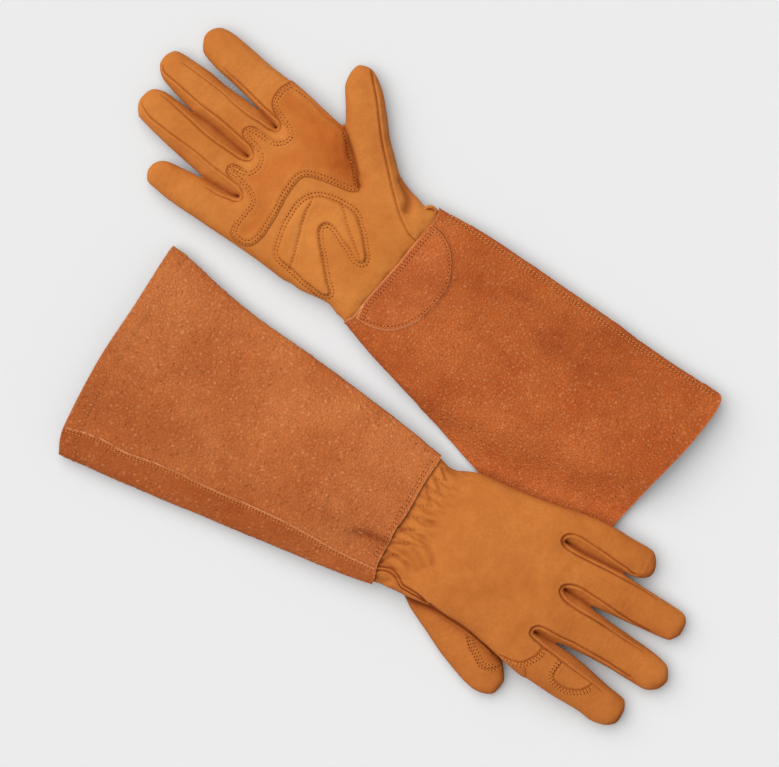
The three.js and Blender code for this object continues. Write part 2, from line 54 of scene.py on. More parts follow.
# ------------------------------------------------------------------------------ plan lines
# Each entry is a name and its points as x,y in mm. r_ is the right glove, l_ the left one.
# gap_<digit> and seam_<digit> lie between that digit and its neighbour on the index side;
# gap_thumb is the inner edge of the right thumb. axis_<digit> runs from root to tip.
HAND_LINES = """
r_outline: -51.3,10.9 -58.2,12.7 -61.7,13.7 -66.8,14.5 -74.2,17.1 -84.4,16.2 -96.3,14.3
 -103.2,14.7 -110.8,13.9 -125.6,15.0 -140.9,15.8 -173.4,16.4 -205.9,17.1 -216.6,18.4
 -223.9,19.4 -226.9,21.6 -229.3,26.6 -228.7,31.9 -225.8,36.3 -220.2,39.1 -207.3,40.9
 -193.9,43.0 -212.3,45.9 -231.6,49.0 -252.6,53.5 -255.9,55.4 -258.8,59.3 -260.6,64.7
 -259.0,72.3 -256.3,75.7 -252.5,77.4 -247.3,78.3 -235.4,77.8 -223.2,76.7 -237.7,80.0
 -251.6,83.7 -257.9,87.0 -262.2,92.4 -262.5,98.0 -261.1,102.2 -257.9,106.0 -251.1,107.0
 -230.3,106.6 -217.7,104.9 -201.4,104.0 -186.1,103.2 -208.1,107.9 -226.4,110.8 -239.6,114.6
 -243.4,117.9 -246.5,124.0 -246.7,128.0 -244.7,132.6 -239.9,136.6 -230.7,137.6 -214.6,135.7
 -198.2,133.2 -182.5,131.9 -177.9,132.4 -162.4,130.1 -146.6,127.2 -132.4,125.7 -136.6,134.6
 -146.1,148.1 -148.0,153.5 -148.7,159.6 -147.5,165.3 -145.5,167.4 -139.2,169.0 -133.1,167.2
 -122.7,160.0 -111.7,148.2 -101.3,136.0 -91.3,126.9 -81.6,118.4 -70.2,113.5 -63.3,111.8
 -56.3,109.8 -53.2,110.1 -49.4,111.8 -44.8,112.3 -38.6,111.8 -36.1,86.3 -39.5,53.6 -45.2,24.4
r_gap_little: -193.9,43.0 -185.9,43.3 -176.3,43.7 -170.8,44.1 -167.0,45.3
r_gap_ring: -223.2,76.7 -213.4,76.8 -202.9,75.8 -192.8,74.2 -183.8,73.0 -176.5,72.0
r_gap_middle: -186.1,103.2 -180.7,101.8 -176.4,100.9 -173.1,99.7 -170.8,99.2
r_gap_thumb: -132.4,125.7 -127.8,122.1 -120.8,116.0 -113.2,109.4 -106.2,102.5 -101.2,96.6
r_wrist: -46.5,113.7 -44.6,107.0 -44.9,101.1 -45.9,95.0 -46.9,88.1 -48.0,79.2 -49.0,68.2
 -50.8,56.1 -52.5,44.1 -54.3,31.9 -55.3,19.5 -57.3,15.7 -58.6,12.0
r_seam_ring: -259.7,92.4 -255.9,89.1 -242.4,87.2 -223.1,84.1 -204.9,82.7 -186.6,79.8 -179.8,78.9
 -175.8,76.6 -173.5,73.6 -173.8,70.4 -176.1,68.7 -179.9,67.7 -185.7,67.7 -192.6,67.9
 -201.3,68.0 -209.3,68.6 -216.8,70.0 -224.6,71.4 -233.1,72.9 -242.2,74.2 -250.0,74.9
r_seam_little: -258.1,63.0 -255.7,61.1 -247.3,57.7 -238.8,56.7 -228.6,55.9 -216.9,55.5
 -205.9,54.7 -197.1,53.4 -187.8,52.5 -177.8,51.9 -170.1,50.8 -166.2,48.9 -164.2,45.9
 -164.9,42.9 -167.9,40.8 -171.9,40.1 -177.9,38.6 -184.2,38.2 -189.4,38.5
r_seam_middle: -193.0,107.8 -187.6,106.7 -181.2,105.7 -176.5,104.6 -173.1,104.2 -170.2,102.8
 -168.5,100.1 -169.1,97.6 -172.3,96.2 -176.4,95.7 -182.6,95.9 -189.4,95.5 -196.2,96.0
 -205.1,97.0 -215.4,99.0 -234.6,100.5 -249.9,101.3
r_seam_middle_tip: -193.0,107.8 -208.6,111.2 -223.3,113.6
r_patch: -178.2,131.6 -180.5,128.3 -182.5,124.3 -183.3,120.1 -183.3,115.9 -182.3,112.4
 -180.3,109.7 -176.9,107.3 -173.4,106.0 -169.5,104.1 -165.1,102.7 -162.1,100.5 -160.7,98.5
 -161.3,95.9 -162.9,93.7 -166.2,91.2 -169.3,90.8 -172.4,90.5 -175.5,91.1 -178.8,90.8
 -182.3,90.7 -185.7,89.9 -188.1,87.3 -188.2,84.0 -186.3,81.9 -183.5,81.0 -179.9,79.7
 -175.8,78.9 -172.6,77.7 -169.9,75.4 -168.3,71.6 -168.2,68.6 -169.4,65.3 -171.1,63.4
 -174.6,62.5 -178.3,62.2 -182.1,61.2 -183.6,58.5 -182.9,55.5 -180.0,54.2 -176.3,54.0
 -172.2,53.1 -168.4,52.5 -165.2,51.6 -161.9,50.4 -159.5,48.7 -157.8,46.6 -157.5,43.8
 -158.2,40.8 -158.4,37.1 -158.9,32.4 -159.1,28.6 -158.4,24.6 -157.2,21.2 -153.8,19.3
 -149.7,18.6 -146.2,18.9 -142.9,20.2 -140.7,22.5 -139.0,25.6 -138.0,29.1 -137.4,34.5
 -137.5,41.0 -137.6,47.5 -138.1,54.6 -138.8,60.7 -138.9,67.2 -138.6,73.1 -137.8,78.2
 -135.8,81.4 -132.9,83.3 -127.4,85.0 -120.3,86.7 -113.0,88.1 -105.7,89.6 -101.8,91.2
 -100.0,92.9 -100.2,95.6 -103.2,100.3 -107.8,105.5 -113.4,110.9 -122.0,118.5 -129.2,124.5
 -131.9,126.1 -140.1,127.3 -147.0,127.8 -162.8,130.7
r_patch_tip0: -177.1,108.3 -180.6,112.5 -182.2,118.1 -181.3,124.9 -178.3,130.5 -176.0,133.2
r_patch_tip1: -186.7,78.1 -190.2,84.1 -189.3,89.2 -184.1,92.5
r_patch_tip2: -180.8,50.7 -183.9,56.1 -183.4,61.0 -178.0,64.1
r_heel: -125.0,28.5 -126.3,32.6 -127.4,36.8 -128.6,41.8 -129.3,46.3 -129.8,50.9 -129.8,55.8
 -129.8,60.8 -128.8,65.6 -127.2,69.5 -125.2,72.7 -122.9,74.9 -119.8,77.1 -115.9,78.7
 -111.0,80.0 -106.6,80.8 -102.6,80.9 -97.8,81.2 -93.1,80.6 -89.1,78.6 -84.9,75.1 -81.2,71.8
 -77.2,67.8 -73.3,63.7 -70.1,60.1 -68.2,56.7 -68.1,53.5 -69.9,51.6 -72.8,50.9 -75.9,51.3
 -79.8,52.9 -83.8,55.3 -89.2,57.1 -93.7,59.1 -98.1,61.2 -101.5,61.9 -104.3,61.5 -106.1,59.7
 -106.3,57.1 -104.7,54.1 -100.9,49.5 -96.6,44.9 -92.1,40.4 -88.4,36.3 -84.3,31.9 -80.9,28.8
 -77.6,26.0 -76.1,23.8 -76.7,21.2 -79.1,19.4 -82.6,18.6 -86.8,18.7 -91.3,19.3 -96.4,19.5
 -101.1,20.4 -105.8,21.3 -109.5,21.7 -113.9,22.4 -117.9,22.8 -121.5,24.2 -123.8,26.2
r_heel_a: -123.2,71.6 -122.2,68.2 -121.9,62.6 -120.4,57.0 -119.2,52.1 -117.5,48.2 -116.4,44.0
 -114.5,38.6 -112.6,32.5 -110.8,27.1 -109.0,22.5
r_heel_b: -103.9,79.2 -100.5,76.5 -96.3,72.6 -91.9,68.9 -87.8,65.8 -83.1,62.3 -79.7,59.6
 -74.9,56.1 -71.1,52.8
r_seam_thumb: -137.2,167.9 -130.5,160.7 -122.7,152.6 -105.2,131.9 -88.7,115.4 -78.0,105.1
 -66.2,94.7 -55.2,87.8 -47.6,86.2
r_thumb_zone: -132.4,125.7 -127.3,121.6 -119.0,113.9 -110.3,105.5 -103.2,97.8 -76.0,112.2
 -54.0,126.5 -109.2,211.5 -170.0,172.1 -147.4,137.4
r_thumb_crotch: -128.6,121.6 -124.3,116.2 -120.9,111.8 -117.4,108.3
r_hollow: -77.3,116.2 -71.9,112.3 -66.1,107.1 -64.1,101.0
r_curl: -53.7,107.3 -53.7,109.1 -52.3,110.8 -50.1,111.6 -47.8,111.1 -47.2,109.0 -48.6,107.1
 -51.3,106.2
r_axis_index: -166.6,115.0 -190.3,118.6 -212.1,121.7 -228.9,124.8 -245.7,127.8
r_axis_middle: -172.5,87.3 -196.4,89.9 -220.8,91.4 -242.7,95.3 -263.9,98.8
r_axis_ring: -171.7,59.5 -198.1,60.8 -225.6,62.7 -244.0,65.6 -261.6,67.4
r_axis_little: -165.5,31.0 -179.1,30.4 -194.5,29.9 -211.3,29.2 -230.1,27.7
r_axis_thumb: -92.1,106.7 -106.6,122.7 -121.6,139.4 -133.8,154.4 -145.2,166.8
l_outline: 48.0,-128.1 53.2,-127.2 56.9,-126.5 60.4,-125.3 66.5,-124.6 72.5,-123.6 78.6,-122.9
 85.0,-121.8 92.9,-120.0 101.2,-118.7 109.4,-118.7 117.2,-118.2 123.9,-118.3 130.8,-118.8
 139.0,-120.1 146.3,-121.1 162.2,-124.0 169.4,-125.0 177.2,-125.7 180.9,-125.0 201.7,-125.4
 221.9,-124.7 233.1,-125.6 243.1,-123.2 248.5,-118.9 249.9,-114.7 249.4,-107.6 247.4,-103.2
 244.0,-100.5 229.8,-98.9 209.6,-95.6 196.4,-94.3 183.0,-94.0 189.9,-92.0 207.3,-89.7
 224.6,-88.4 248.1,-87.9 254.8,-86.8 260.8,-82.1 263.2,-75.6 262.5,-72.0 259.1,-66.8
 255.1,-64.4 244.0,-62.6 223.8,-61.7 203.5,-60.9 189.3,-59.4 217.7,-55.0 246.1,-50.5
 250.7,-47.5 253.3,-42.6 253.0,-37.0 251.9,-32.8 246.7,-28.7 226.8,-28.5 206.4,-28.6
 195.1,-27.7 201.8,-26.6 208.7,-24.6 213.5,-20.7 214.6,-15.9 213.1,-11.1 210.8,-7.6
 205.1,-3.9 189.0,-4.5 173.0,-5.1 156.5,-7.5 135.4,-13.0 113.9,-17.9 91.6,-21.7 76.1,-24.4
 66.1,-29.2 62.4,-31.2 56.4,-32.1 53.3,-31.4 50.1,-30.6 46.6,-30.3 41.0,-29.9 40.4,-49.2
 43.4,-84.3 46.7,-110.9
l_gap_little: 195.1,-27.7 187.9,-28.6 182.1,-29.2 169.1,-30.6 158.6,-31.1 152.1,-31.3
l_gap_ring: 189.3,-59.4 183.3,-59.0 178.6,-59.3 174.3,-59.0 169.6,-59.4
l_gap_middle: 183.0,-94.0 178.4,-94.5 173.0,-94.4 168.1,-95.1
l_thumb: 69.8,-119.8 78.5,-123.2 87.8,-128.6 104.8,-135.7 120.8,-142.6 137.6,-148.2
 145.6,-150.4 153.8,-151.6 159.1,-151.0 163.2,-149.6 166.7,-147.4 168.4,-143.8 168.9,-136.9
 168.0,-134.2 162.1,-126.5 152.3,-118.9 138.4,-111.4 120.9,-104.7 104.4,-102.2 87.2,-103.5
 72.9,-109.5
l_wrist: 47.7,-28.8 48.6,-34.8 48.2,-41.0 48.0,-47.3 48.2,-53.7 48.7,-61.1 49.3,-68.9
 49.5,-75.9 49.3,-81.5 48.9,-88.9 50.1,-97.2 50.4,-102.7 50.8,-108.0 51.5,-114.4 53.3,-119.8
 55.1,-124.4 55.7,-128.5
l_seam_little: 205.1,-24.1 201.8,-24.7 197.4,-23.9 190.5,-23.9 182.2,-23.4 174.2,-23.2
 166.2,-23.0 158.4,-23.2 153.3,-24.4 150.2,-26.4 148.8,-28.8 148.9,-31.9 151.5,-34.1
 156.1,-34.9 163.0,-34.8 171.3,-33.9 179.6,-33.0 187.9,-32.1 195.4,-31.5 201.4,-31.0
 212.5,-30.4 227.4,-30.6
l_seam_ring: 234.3,-51.8 221.2,-53.0 209.3,-52.9 201.2,-52.6 193.1,-52.3 186.2,-52.4
 179.3,-52.3 174.0,-53.3 169.4,-55.3 166.5,-58.5 166.8,-62.0 169.8,-64.5 174.7,-65.8
 180.3,-66.1 186.3,-66.2 196.0,-65.8 205.7,-65.6 223.2,-65.9 239.8,-66.1
l_seam_middle: 240.1,-85.7 235.5,-85.6 220.5,-85.4 209.0,-85.9 201.5,-86.4 193.9,-86.9
 186.7,-88.0 179.2,-88.6 172.5,-89.0 167.5,-90.4 164.9,-93.4 165.0,-96.9 167.5,-98.8
 172.4,-99.5 178.9,-100.3 185.1,-100.7 191.2,-101.1 203.9,-102.3 212.1,-102.9 220.4,-103.4
 231.1,-104.7
l_knuckle: 177.5,-100.8 177.3,-106.7 174.5,-112.6 171.6,-117.0 166.0,-119.8 156.4,-121.5
l_index_patch: 194.6,-100.4 194.1,-107.3 194.6,-113.2 197.8,-115.6 204.2,-116.4 210.5,-114.8
 216.3,-111.0 219.7,-105.5 220.2,-101.9
l_zigzag: 55.2,-42.9 60.8,-40.1 55.4,-53.4 60.1,-50.4 53.8,-66.0 60.9,-60.5 54.4,-74.6
 61.2,-71.1 54.9,-84.2 61.6,-80.7 56.7,-94.6 63.0,-90.4 54.4,-105.1 62.3,-100.8 60.1,-108.8
l_thumb_patch: 129.6,-122.0 136.3,-128.4 143.5,-132.0 148.8,-135.1 154.9,-134.4 160.8,-128.9
l_thumb_fold: 83.5,-123.2 89.1,-121.7 95.4,-120.0 101.6,-118.1 107.3,-115.6
l_side: 51.9,-116.4 56.3,-114.2 60.6,-112.2 65.0,-112.7 69.9,-115.0 74.1,-117.2 78.8,-117.2
 83.7,-117.1 89.4,-117.5 94.0,-118.3 101.0,-118.6 109.7,-119.1
l_side2: 52.9,-119.2 55.7,-117.2 59.2,-115.4 64.3,-115.2 69.0,-117.0 73.3,-119.5 77.8,-119.5
 83.4,-119.2 88.9,-118.9 93.9,-118.9
l_tab: 173.3,-118.4 175.0,-120.6 176.8,-122.7 178.7,-125.1
l_welt: 106.7,-120.9 112.6,-121.2 119.1,-121.1 125.8,-121.2 132.7,-121.7 139.8,-122.5
 146.3,-123.6 152.0,-124.8
l_fold0: 51.8,-33.4 55.2,-37.1 59.0,-39.9 60.6,-40.8
l_fold1: 50.9,-42.6 54.4,-45.5 57.4,-47.5 60.6,-50.0
l_fold2: 49.9,-49.7 51.5,-52.7 53.4,-55.4 56.6,-57.9 58.9,-59.0
l_fold3: 53.6,-66.1 55.7,-64.1 58.3,-62.1 61.1,-60.3
l_fold4: 55.1,-74.4 58.3,-72.3 61.5,-70.5
l_fold5: 51.6,-89.2 52.8,-86.1 55.3,-83.8 58.3,-82.4 61.7,-81.0
l_fold6: 50.5,-98.9 53.7,-95.6 57.6,-93.5 60.8,-92.4 62.5,-90.3
l_fold7: 52.3,-114.7 53.1,-110.9 54.4,-107.4 55.8,-104.8 59.0,-102.7 62.6,-101.1
l_fold8: 65.4,-83.1 70.3,-84.6 76.0,-87.4 80.9,-90.8 84.4,-95.2
l_fold9: 64.5,-91.9 69.8,-94.0 75.6,-96.9 80.7,-99.7
l_fold10: 60.0,-97.2 65.0,-97.8 69.5,-99.6 74.2,-101.8 78.0,-104.6
l_fold11: 61.4,-73.9 65.8,-71.7 70.1,-70.2
l_fold12: 65.1,-103.0 69.6,-104.8 73.8,-107.3
l_axis_index: 165.9,-110.8 189.1,-112.2 202.7,-111.6 216.7,-111.6 249.9,-112.2
l_axis_middle: 166.9,-78.1 185.1,-77.0 204.3,-76.1 226.8,-75.4 264.2,-75.8
l_axis_ring: 159.5,-45.1 174.4,-45.3 189.3,-45.4 217.5,-42.0 255.0,-39.0
l_axis_little: 154.4,-19.6 165.5,-18.9 176.4,-18.0 190.4,-16.7 214.6,-13.4
l_axis_thumb: 95.8,-116.9 108.2,-122.0 124.8,-128.5 141.0,-134.4 167.6,-145.1
"""
# The cuffs: cuff_low and cuff_high are the borders at low and high y, from wrist to hem.
CUFF_LINES = """
r_cuff_low: -58.6,12.0 -34.0,4.5 22.3,-9.9 76.1,-24.4 127.0,-38.2 167.3,-48.2
r_cuff_high: -46.7,114.0 -7.2,116.5 89.0,114.0 136.5,111.9 183.7,111.4
r_cuff_hem: 167.3,-48.2 173.7,-6.2 180.3,34.3 186.6,66.4 189.7,94.6 189.4,105.2 187.9,110.0
 183.7,111.4
r_cuff_seam: -39.4,112.9 -4.6,112.5 38.1,111.4 92.0,109.4 138.7,108.5 183.7,108.9
r_hem_stitch: 176.2,104.0 176.7,85.4 173.9,69.6 171.6,56.6 169.3,41.1 166.3,26.8 162.8,8.1
 155.6,-44.3
r_moon_arc: -44.5,101.8 -39.9,101.6 -35.1,100.6 -30.2,98.3 -25.7,95.7 -21.8,92.1 -17.9,87.1
 -14.6,81.0 -12.1,75.7 -11.2,70.2 -11.3,63.9 -11.7,58.2 -12.8,51.4 -14.6,44.7 -17.5,38.7
 -20.3,34.1 -25.3,27.9 -32.6,22.7 -42.2,19.7 -52.5,19.1
l_cuff_low: 55.7,-128.5 31.7,-134.6 -31.2,-146.7 -94.5,-158.2 -136.0,-165.4 -174.1,-171.2
l_cuff_high: 47.7,-28.8 22.5,-25.4 -22.6,-21.8 -67.0,-19.4 -111.0,-17.5 -143.7,-14.1
 -172.5,-8.9 -185.4,-8.2
l_cuff_hem: -174.1,-171.2 -181.4,-153.7 -186.3,-101.8 -186.1,-56.4 -186.7,-12.4 -185.4,-8.2
l_lap: -180.2,-153.0 -167.1,-149.0 -153.3,-146.2 -136.1,-144.9 -120.4,-141.2 -108.8,-138.7
 -92.3,-136.2 -66.7,-132.7 -21.2,-125.4 21.3,-122.5 51.0,-118.8
l_dent: 19.2,-109.0 23.3,-106.6 27.5,-104.1 32.0,-102.2 36.2,-101.1 40.6,-100.2 45.9,-99.6
 51.1,-98.6
l_hem_stitch: -164.5,-168.3 -169.8,-151.2 -173.8,-127.4 -174.5,-93.3 -172.7,-51.8
 -171.3,-33.6 -170.9,-17.8
l_wrist_stitch: 43.8,-35.5 45.4,-74.7 47.4,-114.5
"""


def read_lines(text):
    lines = {}
    for word in text.split():
        if word.endswith(":"):
            points = lines.setdefault(word[:-1], [])
        else:
            points.append(tuple(float(v) for v in word.split(",")))
    return lines


LINES = read_lines(HAND_LINES + CUFF_LINES)
# the seam of the little finger's gap, carried round the ring finger's low edge
LINES["r_zone_little"] = LINES["r_seam_little"] + [
    (-199.3, 41.2), (-219.2, 38.9), (-237.2, 41.2), (-253.2, 48.1)]
# the half moon's straight side follows the wrist between the ends of its arc
LINES["r_moon_chord"] = [
    LINES["r_moon_arc"][-1], *LINES["r_wrist"][9:2:-1], LINES["r_moon_arc"][0]]
for glove in ("r", "l"):
    LINES[glove + "_cuff_wrist"] = LINES[glove + "_wrist"][::-1]


# ------------------------------------------------------------------------------ small tools
def smooth(t):
    t = np.clip(t, 0.0, 1.0)
    return t * t * (3 - 2 * t)


def mix(a, b, t):
    return a + (b - a) * t


def gauss(d, width):
    return np.exp(-((d / width) ** 2))


def moving_mean(values, width):
    return np.convolve(np.pad(values, width // 2, mode="edge"), np.ones(width) / width, "valid")


def unit(v):
    return v / max(np.linalg.norm(v), 1e-9)


def unit_rows(v):
    return v / np.maximum(np.linalg.norm(v, axis=1), 1e-9)[:, None]


def run_length(line):
    """Length along a line at each of its points."""
    return np.concatenate([[0], np.cumsum(np.linalg.norm(np.diff(line, axis=0), axis=1))])


def curve(points, step, closed, tight):
    """Cardinal spline through the points, resampled evenly."""
    p = np.array(points, float)
    n = len(p)
    pick = (lambda i: p[i % n]) if closed else (lambda i: p[min(max(i, 0), n - 1)])
    out = []
    for i in range(n if closed else n - 1):
        a, b, c, d = pick(i - 1), pick(i), pick(i + 1), pick(i + 2)
        m = max(2, int(np.linalg.norm(c - b) / 0.5))
        t = np.arange(m)[:, None] / m
        out.append(
            b
            + tight * t * (c - a)
            + t ** 2 * (3 * (c - b) - tight * (2 * (c - a) + (d - b)))
            + t ** 3 * (-2 * (c - b) + tight * ((c - a) + (d - b)))
        )
    q = np.concatenate(out + ([] if closed else [p[-1:]]))
    if closed:
        q = closed_ring(q)
    run = run_length(q)
    count = max(2, int(round(run[-1] / step)) + 1)
    t = np.linspace(0, run[-1], count)
    r = np.stack([np.interp(t, run, q[:, 0]), np.interp(t, run, q[:, 1])], 1)
    return r[:-1] if closed else r


def closed_ring(ring):
    return np.concatenate([ring, ring[:1]])


def ring_of(name, step=0.8):
    return curve(LINES[name], step, True, 0.42)


def line_of(name, step=0.8, tight=0.42):
    return curve(LINES[name], step, False, tight)


def distance_run(x, y, line):
    """Distance from points to a polyline, and the length along it at the nearest point."""
    shape = x.shape
    x, y = x.ravel(), y.ravel()
    best = np.full(x.shape, 1e9)
    run = np.zeros(x.shape)
    start = 0.0
    for a, b in zip(line[:-1], line[1:]):
        d = b - a
        length = math.hypot(*d)
        if length < 1e-9:
            continue
        t = np.clip(((x - a[0]) * d[0] + (y - a[1]) * d[1]) / (length * length), 0, 1)
        e = (x - a[0] - t * d[0]) ** 2 + (y - a[1] - t * d[1]) ** 2
        closer = e < best
        best = np.where(closer, e, best)
        run = np.where(closer, start + t * length, run)
        start += length
    return np.sqrt(best).reshape(shape), run.reshape(shape)


def distance(x, y, line):
    return distance_run(x, y, line)[0]


def inside(x, y, ring):
    """Even-odd test of points in a closed ring."""
    shape = x.shape
    x, y = x.ravel(), y.ravel()
    odd = np.zeros(x.shape, bool)
    for i in range(len(ring)):
        a, b = ring[i], ring[(i + 1) % len(ring)]
        if a[1] == b[1]:
            continue
        spans = (a[1] > y) != (b[1] > y)
        odd ^= spans & (x < (b[0] - a[0]) * (y - a[1]) / (b[1] - a[1]) + a[0])
    return odd.reshape(shape)


def signed(x, y, ring):
    """Signed distance to a closed ring, positive inside."""
    d = distance(x, y, closed_ring(ring))
    return np.where(inside(x, y, ring), d, -d)


def signed_side(x, y, line):
    """Distance to an open line, positive on its left."""
    shape = x.shape
    x, y = x.ravel(), y.ravel()
    best = np.full(x.shape, 1e9)
    out = np.zeros(x.shape)
    for a, b in zip(line[:-1], line[1:]):
        d = b - a
        length = math.hypot(*d)
        if length < 1e-9:
            continue
        t = np.clip(((x - a[0]) * d[0] + (y - a[1]) * d[1]) / (length * length), 0, 1)
        e = np.hypot(x - a[0] - t * d[0], y - a[1] - t * d[1])
        cross = d[0] * (y - a[1]) - d[1] * (x - a[0])
        closer = e < best - 1e-9
        best = np.where(closer, e, best)
        out = np.where(closer, np.where(cross >= 0, e, -e), out)
    return out.reshape(shape)


def offset(line, d):
    """The line moved sideways by d, positive to its left, without crossed-over points."""
    t = unit_rows(np.gradient(line, axis=0))
    q = line + np.stack([-t[:, 1], t[:, 0]], 1) * d
    return q[distance(q[:, 0], q[:, 1], line) > abs(d) - 0.25]


def inset(ring, d):
    """A closed ring moved inward by d."""
    area = 0.5 * np.sum(ring[:-1, 0] * ring[1:, 1] - ring[1:, 0] * ring[:-1, 1])
    return offset(ring, (1.0 if area > 0 else -1.0) * d)


def noise(x, y, size, seed):
    """Value noise with cells of the given size, from -1 to 1."""
    table = np.random.RandomState(seed).rand(64, 64) * 2 - 1
    u, v = x / size + 1000.37, y / size + 1000.71
    i, j = np.floor(u).astype(int), np.floor(v).astype(int)
    a, b = u - i, v - j
    a, b = a * a * a * (a * (a * 6 - 15) + 10), b * b * b * (b * (b * 6 - 15) + 10)
    at = lambda p, q: table[p % 64, q % 64]
    low = at(i, j) * (1 - a) + at(i + 1, j) * a
    high = at(i, j + 1) * (1 - a) + at(i + 1, j + 1) * a
    return low * (1 - b) + high * b


def fbm(x, y, size, seed, octaves=3):
    total, amp = 0.0, 1.0
    for k in range(octaves):
        c, s = math.cos(0.9 * k), math.sin(0.9 * k)
        total = total + amp * noise(c * x - s * y, s * x + c * y, size / 2 ** k, seed + k)
        amp *= 0.5
    return total / 1.6


def cells(x, y, size, seed, jitter=0.85):
    """Worley noise: how much nearer the nearest jittered point is than the second, in cells,
    and a value per cell."""
    rng = np.random.RandomState(seed)
    jitter_x, jitter_y, values = rng.rand(64, 64), rng.rand(64, 64), rng.rand(64, 64)
    u, v = x / size + 500.0, y / size + 500.0
    i, j = np.floor(u).astype(int), np.floor(v).astype(int)
    first = np.full(u.shape, 9.0)
    second = np.full(u.shape, 9.0)
    value = np.zeros(u.shape)
    for di in (-1, 0, 1):
        for dj in (-1, 0, 1):
            a, b = (i + di) % 64, (j + dj) % 64
            d = np.hypot(i + di + 0.5 + (jitter_x[a, b] - 0.5) * jitter - u,
                         j + dj + 0.5 + (jitter_y[a, b] - 0.5) * jitter - v)
            closer = d < first
            second = np.where(closer, first, np.minimum(second, d))
            value = np.where(closer, values[a, b], value)
            first = np.where(closer, d, first)
    return second - first, value


# ------------------------------------------------------------------------------ pillow surfaces
class Field:
    """A grid of values over the plane, with smooth sampling."""

    def __init__(self, low, high, step):
        self.low, self.step = np.array(low, float), step
        self.n = np.ceil((np.array(high) - self.low) / step).astype(int) + 1
        self.x = self.low[0] + np.arange(self.n[0])[:, None] * step + np.zeros((1, self.n[1]))
        self.y = self.low[1] + np.arange(self.n[1])[None, :] * step + np.zeros((self.n[0], 1))

    def at(self, a, x, y):
        u = np.clip((x - self.low[0]) / self.step, 0, self.n[0] - 1.001)
        v = np.clip((y - self.low[1]) / self.step, 0, self.n[1] - 1.001)
        i, j = u.astype(int), v.astype(int)
        p, q = u - i, v - j
        low = a[i, j] * (1 - p) + a[i + 1, j] * p
        high = a[i, j + 1] * (1 - p) + a[i + 1, j + 1] * p
        return low * (1 - q) + high * q


def blur(a, sigma):
    r = int(3 * sigma + 1)
    kernel = np.exp(-0.5 * (np.arange(-r, r + 1) / sigma) ** 2)
    kernel /= kernel.sum()
    for axis in (0, 1):
        b = np.zeros_like(a)
        pad = np.pad(a, [(r, r) if i == axis else (0, 0) for i in (0, 1)], mode="edge")
        for i, w in enumerate(kernel):
            b += w * (pad[i : i + a.shape[0], :] if axis == 0 else pad[:, i : i + a.shape[1]])
        a = b
    return a


def inflate(grid, depth, reach):
    """Solves lap(u) - u/reach^2 = -1/reach^2 with u = 0 outside: a pillow height squared,
    1 far from every edge. The solver is conjugate gradients."""
    within = depth > 0
    h2 = (grid.step / reach) ** 2
    u = np.zeros(depth.shape)
    source = np.where(within, h2, 0.0)

    def operator(p):
        r = (4 + h2) * p
        r[1:] -= p[:-1]
        r[:-1] -= p[1:]
        r[:, 1:] -= p[:, :-1]
        r[:, :-1] -= p[:, 1:]
        return np.where(within, r, 0.0)

    rest = source - operator(u)
    p = rest.copy()
    size = (rest * rest).sum()
    for _ in range(400):
        ap = operator(p)
        alpha = size / (p * ap).sum()
        u += alpha * p
        rest -= alpha * ap
        new = (rest * rest).sum()
        if new < 1e-12 * (source * source).sum():
            break
        p = rest + new / size * p
        size = new
    # near an edge the solution follows the exact distance, so outlines stay smooth
    m = (depth > 1.3).astype(float)
    ratio = np.where(m > 0, u / np.maximum(depth, 0.5), 0.0)
    sigma = 1.6 / grid.step
    slope = blur(ratio * m, sigma) / np.maximum(blur(m, sigma), 1e-4)
    t = smooth((depth - 1.5) / 2.5)
    return slope * depth * (1 - t) + u * t


def surface_nets(f):
    """Quads of the zero surface of f, in grid units; inside is negative."""
    neg = f < 0
    nx, ny, nz = f.shape
    count = np.zeros((nx - 1, ny - 1, nz - 1), np.int8)
    corners = [(i, j, k) for i in (0, 1) for j in (0, 1) for k in (0, 1)]
    for i, j, k in corners:
        count += neg[i : nx - 1 + i, j : ny - 1 + j, k : nz - 1 + k]
    active = (count > 0) & (count < 8)
    index = np.full(active.shape, -1, np.int64)
    cell = np.argwhere(active)
    index[active] = np.arange(len(cell))
    total, hits = np.zeros((len(cell), 3)), np.zeros(len(cell))
    for a in corners:
        for axis in range(3):
            if a[axis]:
                continue
            b = list(a)
            b[axis] = 1
            fa = f[cell[:, 0] + a[0], cell[:, 1] + a[1], cell[:, 2] + a[2]]
            fb = f[cell[:, 0] + b[0], cell[:, 1] + b[1], cell[:, 2] + b[2]]
            m = (fa < 0) != (fb < 0)
            t = fa[m] / (fa[m] - fb[m])
            total[m] += np.array(a, float) + t[:, None] * (np.array(b) - np.array(a))
            hits[m] += 1
    verts = cell + total / hits[:, None]
    quads = []
    for axis in range(3):
        u, v = [i for i in range(3) if i != axis]
        low, high = [slice(None)] * 3, [slice(None)] * 3
        low[axis], high[axis] = slice(0, -1), slice(1, None)
        e = np.argwhere(neg[tuple(low)] != neg[tuple(high)])
        e = e[(e[:, u] > 0) & (e[:, v] > 0)
              & (e[:, u] < f.shape[u] - 1) & (e[:, v] < f.shape[v] - 1)]
        flip = ~neg[e[:, 0], e[:, 1], e[:, 2]]
        q = []
        for du, dv in ((-1, -1), (0, -1), (0, 0), (-1, 0)):
            c = e.copy()
            c[:, u] += du
            c[:, v] += dv
            q.append(index[c[:, 0], c[:, 1], c[:, 2]])
        q = np.stack(q, 1)
        if axis == 1:
            flip = ~flip
        q[flip] = q[flip][:, ::-1]
        quads.append(q)
    return verts, np.concatenate(quads)


def normals_of(co, quads):
    a, b, c, d = (co[quads[:, i]] for i in range(4))
    n = np.cross(c - a, d - b)
    out = np.zeros_like(co)
    for i in range(4):
        for k in range(3):
            out[:, k] += np.bincount(quads[:, i], n[:, k], len(co))
    return unit_rows(out)


